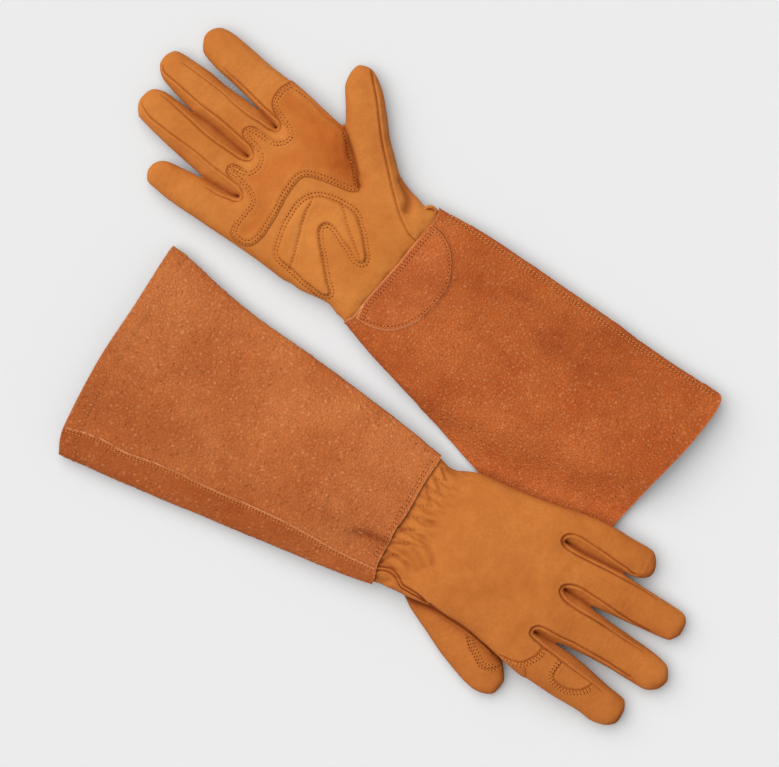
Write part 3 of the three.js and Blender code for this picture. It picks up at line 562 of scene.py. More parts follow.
def even_out(co, quads):
    """Moves points toward their neighbours' mean, mostly along the surface."""
    for _ in range(2):
        total, count = np.zeros_like(co), np.zeros(len(co))
        for a, b in ((0, 1), (1, 2), (2, 3), (3, 0)):
            for p, q in ((a, b), (b, a)):
                for k in range(3):
                    total[:, k] += np.bincount(quads[:, p], co[quads[:, q], k], len(co))
                count += np.bincount(quads[:, p], minlength=len(co))
        n = normals_of(co, quads)
        move = total / np.maximum(count, 1)[:, None] - co
        move -= n * (move * n).sum(1)[:, None] * 0.7
        co = co + 0.5 * move
    return co


PLAN_STEP = 0.6  # grid of the height solution, mm
SKIN_STEP = 0.8  # grid of the skin mesh, mm
HALF_GAP = 0.6  # half the open width of a gap between digits, mm


def pillow(outline, gaps, reach, high):
    """A flat-lying inflated shape round z = 0: points, quads, and each point's depth inside
    the outline. high is its half height, reach how far in from an edge it keeps rising."""
    outline = ring_of(outline, 0.7)
    low_corner, high_corner = outline.min(0) - 6, outline.max(0) + 6
    grid = Field(low_corner, high_corner, PLAN_STEP)
    depth = signed(grid.x, grid.y, outline)
    for name in gaps:
        depth = np.minimum(depth, distance(grid.x, grid.y, line_of(name, 0.7)) - HALF_GAP)
    U = inflate(grid, depth, reach)
    U = mix(U, blur(U, 1.2), smooth((depth - 0.6) / 1.5))
    skin = Field(low_corner, high_corner, SKIN_STEP)
    k = int(high / SKIN_STEP) + 2
    levels = np.arange(-k, k + 1) * SKIN_STEP
    height2 = high * high * grid.at(U, skin.x, skin.y)[:, :, None]
    co, quads = surface_nets(levels[None, None, :] ** 2 - height2)
    co = co * SKIN_STEP
    co[:, 0] += skin.low[0]
    co[:, 1] += skin.low[1]
    co[:, 2] += levels[0]
    gx, gy = np.gradient(U, grid.step)
    for _ in range(4):  # pull the points onto the exact surface
        x, y, z = co.T
        F = z * z - high * high * grid.at(U, x, y)
        n = np.stack([-high * high * grid.at(gx, x, y), -high * high * grid.at(gy, x, y), 2 * z], 1)
        move = n * np.clip(F / np.maximum((n * n).sum(1), 1.0), -0.08, 0.08)[:, None]
        length = np.linalg.norm(move, axis=1)
        move *= np.minimum(1, 0.5 / np.maximum(length, 1e-9))[:, None]
        co = co - move
    co = even_out(co, quads)
    return co, quads, grid.at(depth, co[:, 0], co[:, 1])


# ------------------------------------------------------------------------------ mesh objects
def mesh_object(name, co_mm, faces, normals=None, attrs=None, material=None, shade_smooth=True):
    me = bpy.data.meshes.new(name)
    faces = np.asarray(faces, np.int32)
    k = faces.shape[1]
    me.vertices.add(len(co_mm))
    me.vertices.foreach_set("co", (np.asarray(co_mm) / 1000.0).astype(np.float32).ravel())
    me.loops.add(faces.size)
    me.loops.foreach_set("vertex_index", faces.ravel())
    me.polygons.add(len(faces))
    me.polygons.foreach_set("loop_start", np.arange(0, faces.size, k, dtype=np.int32))
    me.polygons.foreach_set("use_smooth", np.full(len(faces), shade_smooth))
    me.update(calc_edges=True)
    for key, values in (attrs or {}).items():
        attribute = me.attributes.new(key, "FLOAT", "POINT")
        attribute.data.foreach_set("value", np.asarray(values, np.float32))
    me.validate(clean_customdata=False)
    if normals is not None:
        me.normals_split_custom_set_from_vertices(np.asarray(normals, float).tolist())
    ob = bpy.data.objects.new(name, me)
    bpy.context.scene.collection.objects.link(ob)
    if material:
        me.materials.append(material)
    return ob


def part_of(name, co, quads, keep, normals, attrs, material):
    """The faces that keep picks, as their own object."""
    used, inverse = np.unique(quads[keep], return_inverse=True)
    q = inverse.reshape(quads[keep].shape)
    attrs = {k: v[used] for k, v in attrs.items()}
    return mesh_object(name, co[used], q, normals[used], attrs, material)


def tints(count, patch=0.0, seam=0.0, edge=0.0, tone=0.0):
    """The four values per point that the leather materials read."""
    values = {"patch": patch, "seam": seam, "edge": edge, "tone": tone}
    return {k: np.zeros(count) + v for k, v in values.items()}


def tube_quads(rings, sides, closed=False):
    """Quads between successive rings of points; closed joins the last ring to the first."""
    here = np.arange(rings * sides).reshape(rings, sides)
    ahead = np.roll(here, -1, 0)
    if not closed:
        here, ahead = here[:-1], ahead[:-1]
    corners = [here, np.roll(here, -1, 1), np.roll(ahead, -1, 1), ahead]
    return np.stack(corners, -1).reshape(-1, 4)


def join(parts):
    """Parts of (points, faces) as one set of points and faces."""
    verts, faces, base = [], [], 0
    for v, f in parts:
        verts.append(v)
        faces.append(f + base)
        base += len(v)
    return np.concatenate(verts), np.concatenate(faces)


def attach(ob, where, slot):
    """where is a body's name to ride, or the arguments of a blend between two bodies; a piece given
    a blend is only baked in place, not blended.
    """
    if isinstance(where, str):
        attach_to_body(ob, where)
    else:
        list(where)
        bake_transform(ob)


# ------------------------------------------------------------------------------ materials
def rgb(*bytes_):
    """An sRGB colour from 0 to 255, as linear RGBA."""
    f = lambda c: c / 255 / 12.92 if c / 255 <= 0.04045 else ((c / 255 + 0.055) / 1.055) ** 2.4
    return (*map(f, bytes_), 1.0)


class Shader:
    """A material's node tree round one Principled shader."""

    def __init__(self, name, textured=True):
        self.material = bpy.data.materials.new(name)
        self.material.use_nodes = True
        self.tree = self.material.node_tree
        self.tree.nodes.clear()
        out = self.new("OutputMaterial")
        self.bsdf = self.new("BsdfPrincipled")
        self.tree.links.new(self.bsdf.outputs[0], out.inputs[0])
        if textured:
            self.coords = self.new("TexCoord").outputs["Object"]

    def new(self, kind, **settings):
        node = self.tree.nodes.new("ShaderNode" + kind)
        for k, v in settings.items():
            setattr(node, k, v)
        return node

    def link(self, a, b):
        if isinstance(a, bpy.types.NodeSocket):
            self.tree.links.new(a, b)
        else:
            b.default_value = a

    def surface(self, **values):
        """Sets Principled inputs, named with underscores for spaces."""
        for k, v in values.items():
            self.link(v, self.bsdf.inputs[k.replace("_", " ")])

    def math(self, op, a, b, c=None, clamp=False):
        node = self.new("Math", operation=op, use_clamp=clamp)
        self.link(a, node.inputs[0])
        self.link(b, node.inputs[1])
        if c is not None:
            self.link(c, node.inputs[2])
        return node.outputs[0]

    def times(self, a, b):
        return self.math("MULTIPLY", a, b)

    def add(self, a, b):
        return self.math("ADD", a, b)

    def ramp(self, value, low, high):
        node = self.new("MapRange", interpolation_type="SMOOTHSTEP")
        self.link(value, node.inputs["Value"])
        node.inputs["From Min"].default_value = low
        node.inputs["From Max"].default_value = high
        return node.outputs["Result"]

    def mix(self, factor, a, b):
        node = self.new("Mix", data_type="RGBA", blend_type="MIX")
        self.link(factor, node.inputs[0])
        self.link(a, node.inputs[6])
        self.link(b, node.inputs[7])
        return node.outputs[2]

    def noise(self, scale, detail=3.0, rough=0.55, distort=0.0, vector=None):
        node = self.new("TexNoise")
        self.link(vector or self.coords, node.inputs["Vector"])
        node.inputs["Scale"].default_value = scale
        node.inputs["Detail"].default_value = detail
        node.inputs["Roughness"].default_value = rough
        node.inputs["Distortion"].default_value = distort
        return node.outputs["Fac"]

    def voronoi(self, scale, feature="F1", random=1.0, vector=None):
        node = self.new("TexVoronoi", feature=feature)
        self.link(vector or self.coords, node.inputs["Vector"])
        node.inputs["Scale"].default_value = scale
        node.inputs["Randomness"].default_value = random
        return node

    def channel(self, color, index):
        node = self.new("SeparateColor")
        self.link(color, node.inputs[0])
        return node.outputs[index]

    def attribute(self, name):
        return self.new("Attribute", attribute_name=name).outputs["Fac"]

    def vector_math(self, op, a, b, b_input=1):
        node = self.new("VectorMath", operation=op)
        self.link(a, node.inputs[0])
        self.link(b, node.inputs[b_input])
        return node.outputs[0]

    def bump(self, height, strength, distance):
        node = self.new("Bump")
        node.inputs["Strength"].default_value = strength
        node.inputs["Distance"].default_value = distance
        self.link(height, node.inputs["Height"])
        self.link(node.outputs[0], self.bsdf.inputs["Normal"])


def nubuck_height(net):
    """Fine nap, pores and brushed streaks."""
    fine = net.noise(1500, detail=3, rough=0.7)
    pores = net.voronoi(1150).outputs["Distance"]
    streaks = net.new("Mapping")
    net.link(net.coords, streaks.inputs["Vector"])
    streaks.inputs["Scale"].default_value = (1, 2.4, 1)
    streaks.inputs["Rotation"].default_value = (0, 0, 0.4)
    nap = net.noise(210, detail=3, rough=0.6, distort=0.6, vector=streaks.outputs[0])
    height = net.add(net.times(fine, 0.5), net.times(pores, 0.35))
    return net.add(height, net.times(nap, 0.9))


def split_grain(net, col, dark, crease, grain):
    """Pebbled pigskin: colour with painted shade in the pits and between the pebbles, height and
    the mask of pale specks.
    """
    warp = net.new("Mix", data_type="VECTOR")
    wobble = net.new("TexNoise")
    net.link(net.coords, wobble.inputs["Vector"])
    wobble.inputs["Scale"].default_value = 120
    warp.inputs[0].default_value = 0.0035
    net.link(net.coords, warp.inputs[4])
    net.link(wobble.outputs["Color"], warp.inputs[5])
    warped = warp.outputs[1]
    per_m = 1.0 / grain["size"]
    border = net.voronoi(per_m * 1.45, "DISTANCE_TO_EDGE", vector=warped).outputs["Distance"]
    specks = net.voronoi(per_m, random=0.80, vector=warped)
    red = net.channel(specks.outputs["Color"], 0)
    strength = net.add(0.30, net.times(0.70, net.ramp(red, 0.2, 1.0)))
    speck = net.times(net.ramp(specks.outputs["Distance"], 0.40, 0.10), strength)
    pits = net.voronoi(1.05 / grain["size"], vector=warped)
    green = net.channel(pits.outputs["Color"], 1)
    pit = net.times(net.ramp(pits.outputs["Distance"], 0.46, 0.08), net.ramp(green, 0.1, 0.9))
    fine = net.ramp(net.noise(620, detail=3, rough=0.7), 0.32, 0.70)
    col = net.mix(net.times(fine, grain["edge"]), col, dark)
    # painted shade: the gaps between the pebbles and the pits are darkened toward crease
    pebble = net.ramp(border, 0.0, 0.16)
    col = net.mix(net.times(net.math("SUBTRACT", 1.0, pebble), grain["edge"]), col, crease)
    col = net.mix(net.times(pit, grain["pit"]), col, net.mix(0.45, crease, dark))
    rough = net.noise(900, detail=4, rough=0.7)
    height = net.add(net.times(pebble, 0.5), net.times(rough, 0.8))
    height = net.math("SUBTRACT", height, net.times(pit, 1.0))
    height = net.add(height, net.times(speck, 0.5))
    return col, height, speck


def toned(net, col):
    """Scales the colour by the mesh's tone value, which holds random mottling together with painted
    shade and painted highlight: above 0 it lightens, below 0 it darkens, blue more than red.
    """
    tone = net.attribute("tone")
    scale = net.new("CombineXYZ")
    for i, gain in enumerate((0.92, 1.20, 1.36)):
        part = net.math("MAXIMUM", net.math("MULTIPLY_ADD", tone, gain, 1.0), 0.04)
        net.link(part, scale.inputs[i])
    return net.vector_math("MULTIPLY", col, scale.outputs[0])


def neutral_from_floor(net, col):
    """Seen by light that bounced off the floor the leather is nearly neutral, as on a sweep
    lit to keep the backdrop clean."""
    path = net.new("LightPath")
    geometry = net.new("NewGeometry")
    back = net.vector_math("SCALE", geometry.outputs["Incoming"], path.outputs["Ray Length"],
                           b_input="Scale")
    origin = net.vector_math("ADD", geometry.outputs["Position"], back)
    split = net.new("SeparateXYZ")
    net.link(origin, split.inputs[0])
    low = net.math("LESS_THAN", split.outputs["Z"], 0.0002)
    amount = net.times(net.times(path.outputs["Is Diffuse Ray"], low), 0.75)
    return net.mix(amount, col, (0.21, 0.20, 0.19, 1))


def leather(name, base, light, dark, crease, pale, grain=None, patch=None):
    """Nubuck, or pigskin split where a grain is given. base, light, dark: mottled tones;
    crease: seams, and painted shade in folds, hollows and grain pits; pale: raw edges;
    patch: light and dark tone of added layers. grain: cell size in m, strength of specks,
    of the painted shade in pits and cell edges, and bump height in m."""
    net = Shader(name)
    broad = net.ramp(net.noise(26, detail=4, rough=0.6, distort=0.3), 0.30, 0.72)
    middle = net.ramp(net.noise(95, detail=4, rough=0.65), 0.35, 0.70)
    fine = net.ramp(net.noise(520, detail=3, rough=0.6), 0.30, 0.75)
    col = net.mix(broad, dark, light)
    col = net.mix(0.45, col, base)
    col = net.mix(net.times(middle, 0.30), col, light)
    col = net.mix(net.times(fine, 0.22 if grain else 0.38), col, dark)
    if grain:
        col, height, speck = split_grain(net, col, dark, crease, grain)
    else:
        height = nubuck_height(net)
    if patch:
        layer = net.mix(broad, patch[1], patch[0])
        layer = net.mix(net.times(fine, 0.25), layer, patch[1])
        col = net.mix(net.attribute("patch"), col, layer)
    if grain:
        col = net.mix(net.times(speck, grain["speck"]), col, pale)
    col = toned(net, col)
    # the seam value pulls the colour toward crease: dark seam lines, and painted shade in folds,
    # hollows and gaps
    col = net.mix(net.math("MULTIPLY", net.attribute("seam"), 0.75, clamp=True), col, crease)
    col = net.mix(net.attribute("edge"), col, pale)
    col = neutral_from_floor(net, col)
    net.surface(Base_Color=col, Roughness=net.add(0.78 - 0.06, net.times(middle, 0.12)),
                Specular_IOR_Level=0.14, Sheen_Weight=0.06, Sheen_Roughness=0.45,
                Sheen_Tint=light)
    net.bump(height, strength=0.75, distance=grain["bump"] if grain else 0.0003)
    return net.material


def thread(name, light, dark, hole):
    net = Shader(name)
    twist = net.new("TexWave", wave_type="BANDS", bands_direction="DIAGONAL")
    net.link(net.coords, twist.inputs["Vector"])
    twist.inputs["Scale"].default_value = 900
    twist.inputs["Distortion"].default_value = 1.5
    col = net.mix(net.times(twist.outputs["Fac"], 0.4), light, dark)
    worn = net.ramp(net.noise(300, detail=2), 0.4, 0.7)
    col = net.mix(worn, col, net.mix(0.25, col, dark))
    # needle holes painted dark: painted shade in the hole
    col = net.mix(net.attribute("hole"), col, hole)
    net.surface(Base_Color=col, Roughness=0.8, Specular_IOR_Level=0.06)
    net.bump(twist.outputs["Fac"], strength=0.6, distance=0.0001)
    return net.material


HAND = {
    "right": leather(
        "hand_leather_right", base=rgb(200, 120, 52), light=rgb(213, 135, 64),
        dark=rgb(186, 104, 40), crease=rgb(138, 60, 12), pale=rgb(226, 160, 98),
        patch=(rgb(200, 110, 44), rgb(178, 87, 29))),
    "left": leather(
        "hand_leather_left", base=rgb(196, 113, 48), light=rgb(209, 128, 60),
        dark=rgb(178, 97, 36), crease=rgb(132, 56, 12), pale=rgb(226, 160, 98)),
}
CUFF = {
    "right": leather(
        "gauntlet_leather_right", base=rgb(196, 100, 45), light=rgb(210, 117, 58),
        dark=rgb(178, 81, 32), crease=rgb(112, 44, 12), pale=rgb(236, 160, 108),
        grain=dict(size=0.0031, speck=0.43, pit=0.10, edge=0.26, bump=0.0007)),
    "left": leather(
        "gauntlet_leather_left", base=rgb(199, 111, 56), light=rgb(212, 127, 70),
        dark=rgb(180, 90, 40), crease=rgb(112, 44, 14), pale=rgb(240, 164, 112),
        patch=(rgb(192, 103, 49), rgb(177, 86, 36)),
        grain=dict(size=0.0037, speck=0.44, pit=0.20, edge=0.09, bump=0.0008)),
}
MOON = leather(
    "half_moon_leather", base=rgb(196, 101, 48), light=rgb(208, 116, 60),
    dark=rgb(182, 87, 39), crease=rgb(108, 44, 14), pale=rgb(234, 150, 102),
    grain=dict(size=0.0031, speck=0.50, pit=0.08, edge=0.24, bump=0.0006))
THREAD_HAND = thread("stitch_thread_hand", light=rgb(222, 146, 72), dark=rgb(190, 108, 42),
                     hole=rgb(112, 46, 6))
THREAD_PALE = thread("stitch_thread_pale", light=rgb(226, 156, 90), dark=rgb(204, 122, 60),
                     hole=rgb(138, 66, 24))
THREAD_LOW = thread("stitch_thread_low", light=rgb(216, 136, 76), dark=rgb(190, 102, 48),
                    hole=rgb(112, 46, 16))


# ------------------------------------------------------------------------------ hand tools
def seam_shape(d, depth, width, lip):
    """A groove at d = 0 with a raised lip beside it."""
    return -depth * gauss(d, width) + lip * gauss(np.abs(d) - 1.7, 0.9)


class Relief:
    """What is pressed into and coloured on a skin: lift along its normals, the dark mark of seams
    and of painted shade in folds and hollows, and the tone value with its painted shade and
    highlight. top weighs each point, 1 on the upper face."""

    def __init__(self, x, y, top):
        self.x, self.y, self.top = x, y, top
        self.lift, self.seam, self.tone = (np.zeros_like(x) for _ in range(3))
        self.edge, self.patch = np.zeros_like(x), np.zeros_like(x)

    def mark(self, amount):
        self.seam = np.maximum(self.seam, amount)

    def sew(self, line, depth, lip, dark, dark_width=0.38, width=0.6, keep=1.0, fade=None):
        """A seam. fade is (least strength, fading length, run where it is least or None for
        the line's end)."""
        e, run = distance_run(self.x, self.y, line)
        if fade:
            least, length, end = fade
            end = run_length(line)[-1] if end is None else end
            keep = least + (1 - least) * smooth((end - run) / length)
        self.lift += seam_shape(e, depth, width, lip) * self.top * keep
        self.mark(dark * gauss(e, dark_width) * self.top * keep)


# Half thickness inside a cuff, mm, and a point of each hand's side of its wrist line.
CUFF_ROOM = 7.25
HAND_POINT = {"right": (-150.0, 70.0), "left": (150.0, -70.0)}


def room_in_cuff(side, x, y):
    """How thick half the hand may be to fit its cuff: the cuff's inner half at the wrist, more
    and more away from it. Also the distance out of the cuff, negative inside it."""
    wrist = line_of(side[0] + "_cuff_wrist")
    run = distance_run(x, y, wrist)[1]
    v = np.clip(run / run_length(wrist)[-1], 0.0, 1.0)
    px, py = HAND_POINT[side]
    out = signed_side(x, y, wrist) * float(
        np.sign(signed_side(np.array([px]), np.array([py]), wrist)[0]))
    inner = CUFF_ROOM * (1 - np.abs(2 * v - 1) ** 2.4 + 1e-6) ** (1 / 2.4)
    away = np.maximum(out, 0.0)
    return np.maximum(inner, 1.2) + away * 0.62 + 0.02 * away ** 2, out


def fit_half(z, limit):
    return z / (1 + (np.abs(z) / limit) ** 5) ** 0.2


def press(z, level, give, soft):
    """Flattens heights below a level, softly, so that they stay above the floor."""
    return np.where(z < level, level - give * np.tanh((level - z) / soft), z)


SHADE_DIRECTION = np.array([0.9943, -0.1175])


def side_shade(n, top, amount=0.42):
    """Painted shade: sides turned away from the key light are darkened."""
    q = n[:, 0] * SHADE_DIRECTION[0] + n[:, 1] * SHADE_DIRECTION[1]
    return -amount * smooth((q - 0.30) / 0.65) * top


def axis_direction(line):
    t = line[-1] - line[0]
    return t / np.linalg.norm(t)


def axis_place(x, y, line):
    """Place along and beside a digit's axis, from its root, in mm."""
    a, t = line[0], axis_direction(line)
    return (x - a[0]) * t[0] + (y - a[1]) * t[1], (x - a[0]) * -t[1] + (y - a[1]) * t[0]


def creases(x, y, t, lat, joints, seed, amp):
    """Fine wrinkles across a digit near its joints."""
    out = 0.0
    rng = np.random.RandomState(seed)
    for joint in joints:
        for k in range(4):
            o = joint + (k - 1.5) * 3.4 + rng.uniform(-0.8, 0.8)
            tilt = rng.uniform(-0.18, 0.18)
            bow = rng.uniform(-0.012, 0.012)
            e = t - o - tilt * lat - bow * lat * lat + 0.9 * noise(x, y, 5.0, seed + k)
            reach = smooth((11.0 - np.abs(lat - rng.uniform(-4, 4))) / 5.0)
            out = out - amp * rng.uniform(0.5, 1.0) * gauss(e, 1.1) * reach
            out = out + 0.3 * amp * gauss(np.abs(e) - 2.0, 1.2) * reach
    return out


def finger_creases(relief, axes, joints, seed, amp):
    x, y = relief.x, relief.y
    for i, k in enumerate(DIGITS):
        t, lat = axis_place(x, y, axes[k])
        m = (distance(x, y, axes[k]) < 20) & (t > -4)
        wrinkles = creases(x, y, t, lat, joints, seed + i, amp)
        relief.lift += np.where(m, wrinkles, 0) * relief.top


def displace(co, quads, lift):
    return co + normals_of(co, quads) * lift[:, None]


def digit_droop(x, y, axes, length):
    droop = np.zeros_like(x)
    for k in DIGITS:
        t, _ = axis_place(x, y, axes[k])
        droop = np.maximum(droop, smooth(t / length) * (distance(x, y, axes[k]) < 22))
    return droop


def digit_labels(x, y, axes):
    label = np.full(len(x), "hand", object)
    best = np.full(len(x), 1e9)
    for k in DIGITS:
        t, _ = axis_place(x, y, axes[k])
        e = distance(x, y, axes[k])
        m = (t > -3.0) & (e < 24) & (e < best)
        label[m] = k
        best[m] = e[m]
    return label


def in_thumb(x, y):
    return inside(x, y, np.array(LINES["r_thumb_zone"]))


# ------------------------------------------------------------------------------ right hand
PATCH_POINTS = np.array(LINES["r_patch"])
# the patch's border on the side of the palm's middle
PATCH_GUIDE = np.array([[-176.0, 28.0], [-128.0, 96.0]])
LONG_EDGE = PATCH_POINTS[(PATCH_POINTS[:, 0] > -150)
                         & (signed_side(*PATCH_POINTS.T, PATCH_GUIDE) < 14)]
PATCH_TIPS = [line_of("r_patch_tip%d" % i) for i in range(3)]


def near_tips(x, y):
    return np.minimum.reduce([distance(x, y, tip) for tip in PATCH_TIPS])


def right_marks(relief, axes, out, thumb, thumb_t, thumb_lat):
    """Patch, heel pad, seams, hollows and folds of the palm face. Returns the signed distance
    to the patch's border and how much of the patch's colour shows, with painted shade of the fold
    near the thumb's crotch."""
    x, y, top = relief.x, relief.y, relief.top
    patch_in = signed(x, y, ring_of("r_patch"))
    patch = smooth((patch_in + 0.45) / 0.9) * top
    relief.lift += 0.85 * patch
    crotch = distance(x, y, np.array(LINES["r_thumb_crotch"]))
    # the patch's colour deepens toward the thumb's crotch: painted shade of the fold there
    patch_dye_and_shade = patch * (0.30 + 0.34 * smooth((patch_in - 3.5) / 9.0) + 0.50 * gauss(crotch, 20.0)
                   + 0.22 * fbm(x, y, 16, 410))
    for row in (1.1, 3.4):
        relief.lift -= 0.42 * gauss(patch_in - row, 0.6) * top
        relief.mark(0.10 * gauss(patch_in - row, 0.8) * top)
    relief.lift += 0.35 * gauss(patch_in - 2.2, 0.8) * top + 0.3 * gauss(patch_in - 5.0, 1.4) * top
    # dark line at the patch's border, stronger along its long edge; at the lobe tips the extra
    # darkness is painted shade of the patch's step
    long_edge = smooth((15.0 - distance(x, y, LONG_EDGE)) / 6.0)
    tips = smooth((5.0 - near_tips(x, y)) / 2.0)
    relief.mark((0.30 + 0.55 * np.maximum(long_edge, tips))
                * gauss(patch_in + 0.25, 0.40 + 0.35 * tips) * top)
    # heel pad with its quilting
    heel_in = signed(x, y, ring_of("r_heel"))
    pad = smooth(heel_in / 3.5) * (1 - 0.35 * smooth((heel_in - 5) / 6))
    relief.lift += 1.7 * pad * top
    quilt = [(heel_in + 1.2, 0.60, 0.7), (heel_in - 1.2, 0.80, 0.8)]
    quilt += [(distance(x, y, line_of(k)), 0.95, 0.9) for k in ("r_heel_a", "r_heel_b")]
    for e, depth, width in quilt:
        relief.lift -= depth * gauss(e, width) * top
        relief.mark(0.12 * gauss(e, 0.8) * top)
    for k, depth, end in (("ring", 0.75, None), ("little", 0.75, None), ("middle", 0.75, 75.0),
                          ("middle_tip", 0.5, None)):
        relief.sew(line_of("r_seam_" + k), depth, 0.34, 0.75, fade=(0.35, 30.0, end))
    relief.sew(line_of("r_seam_thumb"), 0.8, 0.40, 0.80)
    relief.tone += 0.05 * pad * top
    # the fourchettes between the finger seams: a deeper colour, and painted shade darkest in the
    # gap
    middle = np.concatenate([line_of("r_seam_middle_tip")[::-1][:-1], line_of("r_seam_middle")])
    for zone, digit in ((line_of("r_seam_ring"), "ring"), (line_of("r_zone_little"), "little"),
                        (middle, "middle")):
        within = smooth((signed(x, y, zone) - 0.6) / 1.6) * top
        e = distance(x, y, line_of("r_gap_" + digit))
        relief.tone -= 0.02 * within + 0.04 * gauss(e, 1.8) * top
        relief.mark(0.06 * within + 0.10 * gauss(e, 1.8) * top)
    # the hollow under the thumb's root, and the tuck in its crotch, both darkened with painted
    # shade
    e = distance(x, y, line_of("r_hollow"))
    relief.lift -= 2.6 * gauss(e, 3.6) * top
    relief.tone -= 0.34 * gauss(e, 2.9) * top
    relief.mark(0.25 * gauss(e, 3.0) * top)
    e = distance(x, y, line_of("r_thumb_crotch"))
    relief.lift -= 0.6 * gauss(e, 1.4) * top * ~thumb
    relief.lift += 0.3 * gauss(e - 3.2, 1.6) * top * ~thumb
    relief.tone -= 0.20 * gauss(e, 1.3) * top * ~thumb
    relief.tone -= 0.05 * gauss(e, 12.0) * top * ~thumb
    # folds and wrinkles
    relief.lift += 0.55 * fbm(x, y, 17, 11) * top
    relief.lift += 0.22 * fbm(x * 0.55, y, 5.5, 21) * top
    finger_creases(relief, axes, (24, 52), 31, 0.15)
    wrinkles = creases(x, y, thumb_t, thumb_lat, (18, 46), 77, 0.16)
    relief.lift += np.where(thumb & (thumb_t > 4), wrinkles, 0) * top
    # soft gathers toward the wrist
    e, run = distance_run(x, y, line_of("r_wrist"))
    gather = np.sin(run * 0.33 + 2.2 * noise(x, y, 17, 5)) * np.exp(-e / 14.0)
    relief.lift += 0.30 * gather * top * smooth(out / 3.0)
    return patch_in, patch_dye_and_shade


def right_hand():
    gaps = ["r_gap_" + k for k in ("little", "ring", "middle", "thumb")]
    flat, quads, depth = pillow("r_outline", gaps, reach=11.2, high=12.4)
    x, y, z = flat.T
    top = smooth((z + 1.5) / 4.0)
    axes = {k: line_of("r_axis_" + k, 2.0) for k in DIGITS + ("thumb",)}
    # middle surface: fingers droop to the plane, thumb too
    middle = 10.8 - 1.0 * digit_droop(x, y, axes, 85.0)
    thumb_t, thumb_lat = axis_place(x, y, axes["thumb"])
    thumb = in_thumb(x, y)
    middle = mix(middle, 11.6 - 1.6 * smooth(thumb_t / 70.0),
                 thumb * smooth((thumb_t + 2.0) / 26.0))
    limit, out = room_in_cuff("right", x, y)
    half = fit_half(np.where(z < 0, z * 0.86, z * 0.98), limit)
    # the thumb lies on the palm along its inner edge
    gap = line_of("r_gap_thumb", 0.7)
    gap_e, gap_run = distance_run(x, y, gap)
    fade = smooth((run_length(gap)[-1] - gap_run) / 14.0)
    dip = 1.2 * gauss(gap_e, 5.0) * smooth(half / 4.0) * fade
    half = np.where(~thumb & (z > 0), half - dip, half)
    half = np.where(thumb & (z > 0), half + 0.9 * gauss(gap_e, 7.0) * fade, half)
    shape = np.stack([x, y, press(middle + half, 1.4, 0.9, 2.2)], 1)

    relief = Relief(x, y, top)
    patch_in, patch_dye_and_shade = right_marks(relief, axes, out, thumb, thumb_t, thumb_lat)
    relief.lift *= smooth((out + 5.0) / 5.0)
    relief.lift += 0.5 * fbm(x, y, 15, 61) * (1 - top)
    relief.lift *= smooth((depth + 0.5) / 2.0)
    co = displace(shape, quads, relief.lift)
    n = normals_of(co, quads)
    tone = relief.tone
    tone += 0.055 * fbm(x, y, 30, 301) + 0.035 * fbm(x, y, 9, 305)
    tone -= 0.05 * smooth((thumb_t - 2) / 24) * thumb
    # painted light: the palm is lightened just outside the cuff, against the shade of its drop into
    # the cuff
    tone += 0.17 * smooth((out - 0.8) / 2.0) * np.exp(-((out / 10.0) ** 2)) * top
    tone += side_shade(n, top) * (1 - 0.75 * gauss(gap_e, 7.0) * fade * ~thumb)
    attrs = tints(len(x), patch=np.clip(patch_dye_and_shade, 0, 1), seam=np.clip(relief.seam, 0, 1),
                  edge=gauss(patch_in - 0.35, 0.42) * top * 0.10, tone=tone)
    fx, fy, fz = flat[quads].mean(1).T
    label = digit_labels(fx, fy, axes)
    label[in_thumb(fx, fy)] = "thumb"
    return SimpleNamespace(co=co, normals=n, quads=quads, label=label, top=fz > 0, attrs=attrs,
                           patch=signed(fx, fy, ring_of("r_patch")) > 0, axes=axes)


# ------------------------------------------------------------------------------ left hand
def left_folds(relief, out):
    """Elastic gathers at the wrist, which run along the hand, and the pinched folds, with painted
    shade in their valleys and a painted highlight on the gathers' crests.
    """
    x, y, top = relief.x, relief.y, relief.top
    e, run = distance_run(x, y, line_of("l_wrist"))
    at_wrist = np.exp(-((e - 13) / 10.0) ** 2) + 0.55 * np.exp(-e / 6.0)
    phase = run * 0.78 + 3.0 * noise(x, y, 16, 8) + 0.06 * e
    fine_phase = run * 1.63 + 2.6 * noise(x, y, 9, 9)
    pucker = np.sin(phase) * 1.0 + 0.45 * np.sin(fine_phase)
    relief.lift += 0.80 * pucker * at_wrist * (0.65 + 0.35 * noise(x, y, 12, 10)) * top
    valley = smooth((-pucker - 0.35) / 0.9) * at_wrist * top
    relief.mark(0.26 * valley)
    relief.tone -= 0.10 * valley - 0.04 * smooth((pucker - 0.2) / 0.9) * at_wrist * top
    # painted shadow of the cuff's edge on the hand
    relief.tone -= 0.34 * np.exp(-np.maximum(out, 0.0) / 2.2) * top
    # folds that the elastic's zigzag pinches, then soft ones that run into the back
    for i in range(13):
        line = line_of("l_fold%d" % i)
        e, run = distance_run(x, y, line)
        soft = i >= 8
        depth, width, dark = (0.9, 2.0, 0.20) if soft else (0.95, 0.80, 0.55)
        if i in (3, 4):
            depth, width, dark = 0.30, 0.7, 0.14
        ends = smooth((run + 0.8) / 3.0) * smooth((run_length(line)[-1] - run + 0.8) / 3.0)
        relief.lift -= depth * gauss(e, width) * ends * top
        relief.lift += 0.22 * depth * gauss(e - 2.6 * width, 1.3 * width) * ends * top
        # painted shade in the fold
        relief.mark(dark * gauss(e, 0.8 * width) * ends * top)
        shade, spread = (0.10, 1.3) if soft else (0.14, 2.6)
        relief.tone -= shade * gauss(e, spread * width) * ends * top


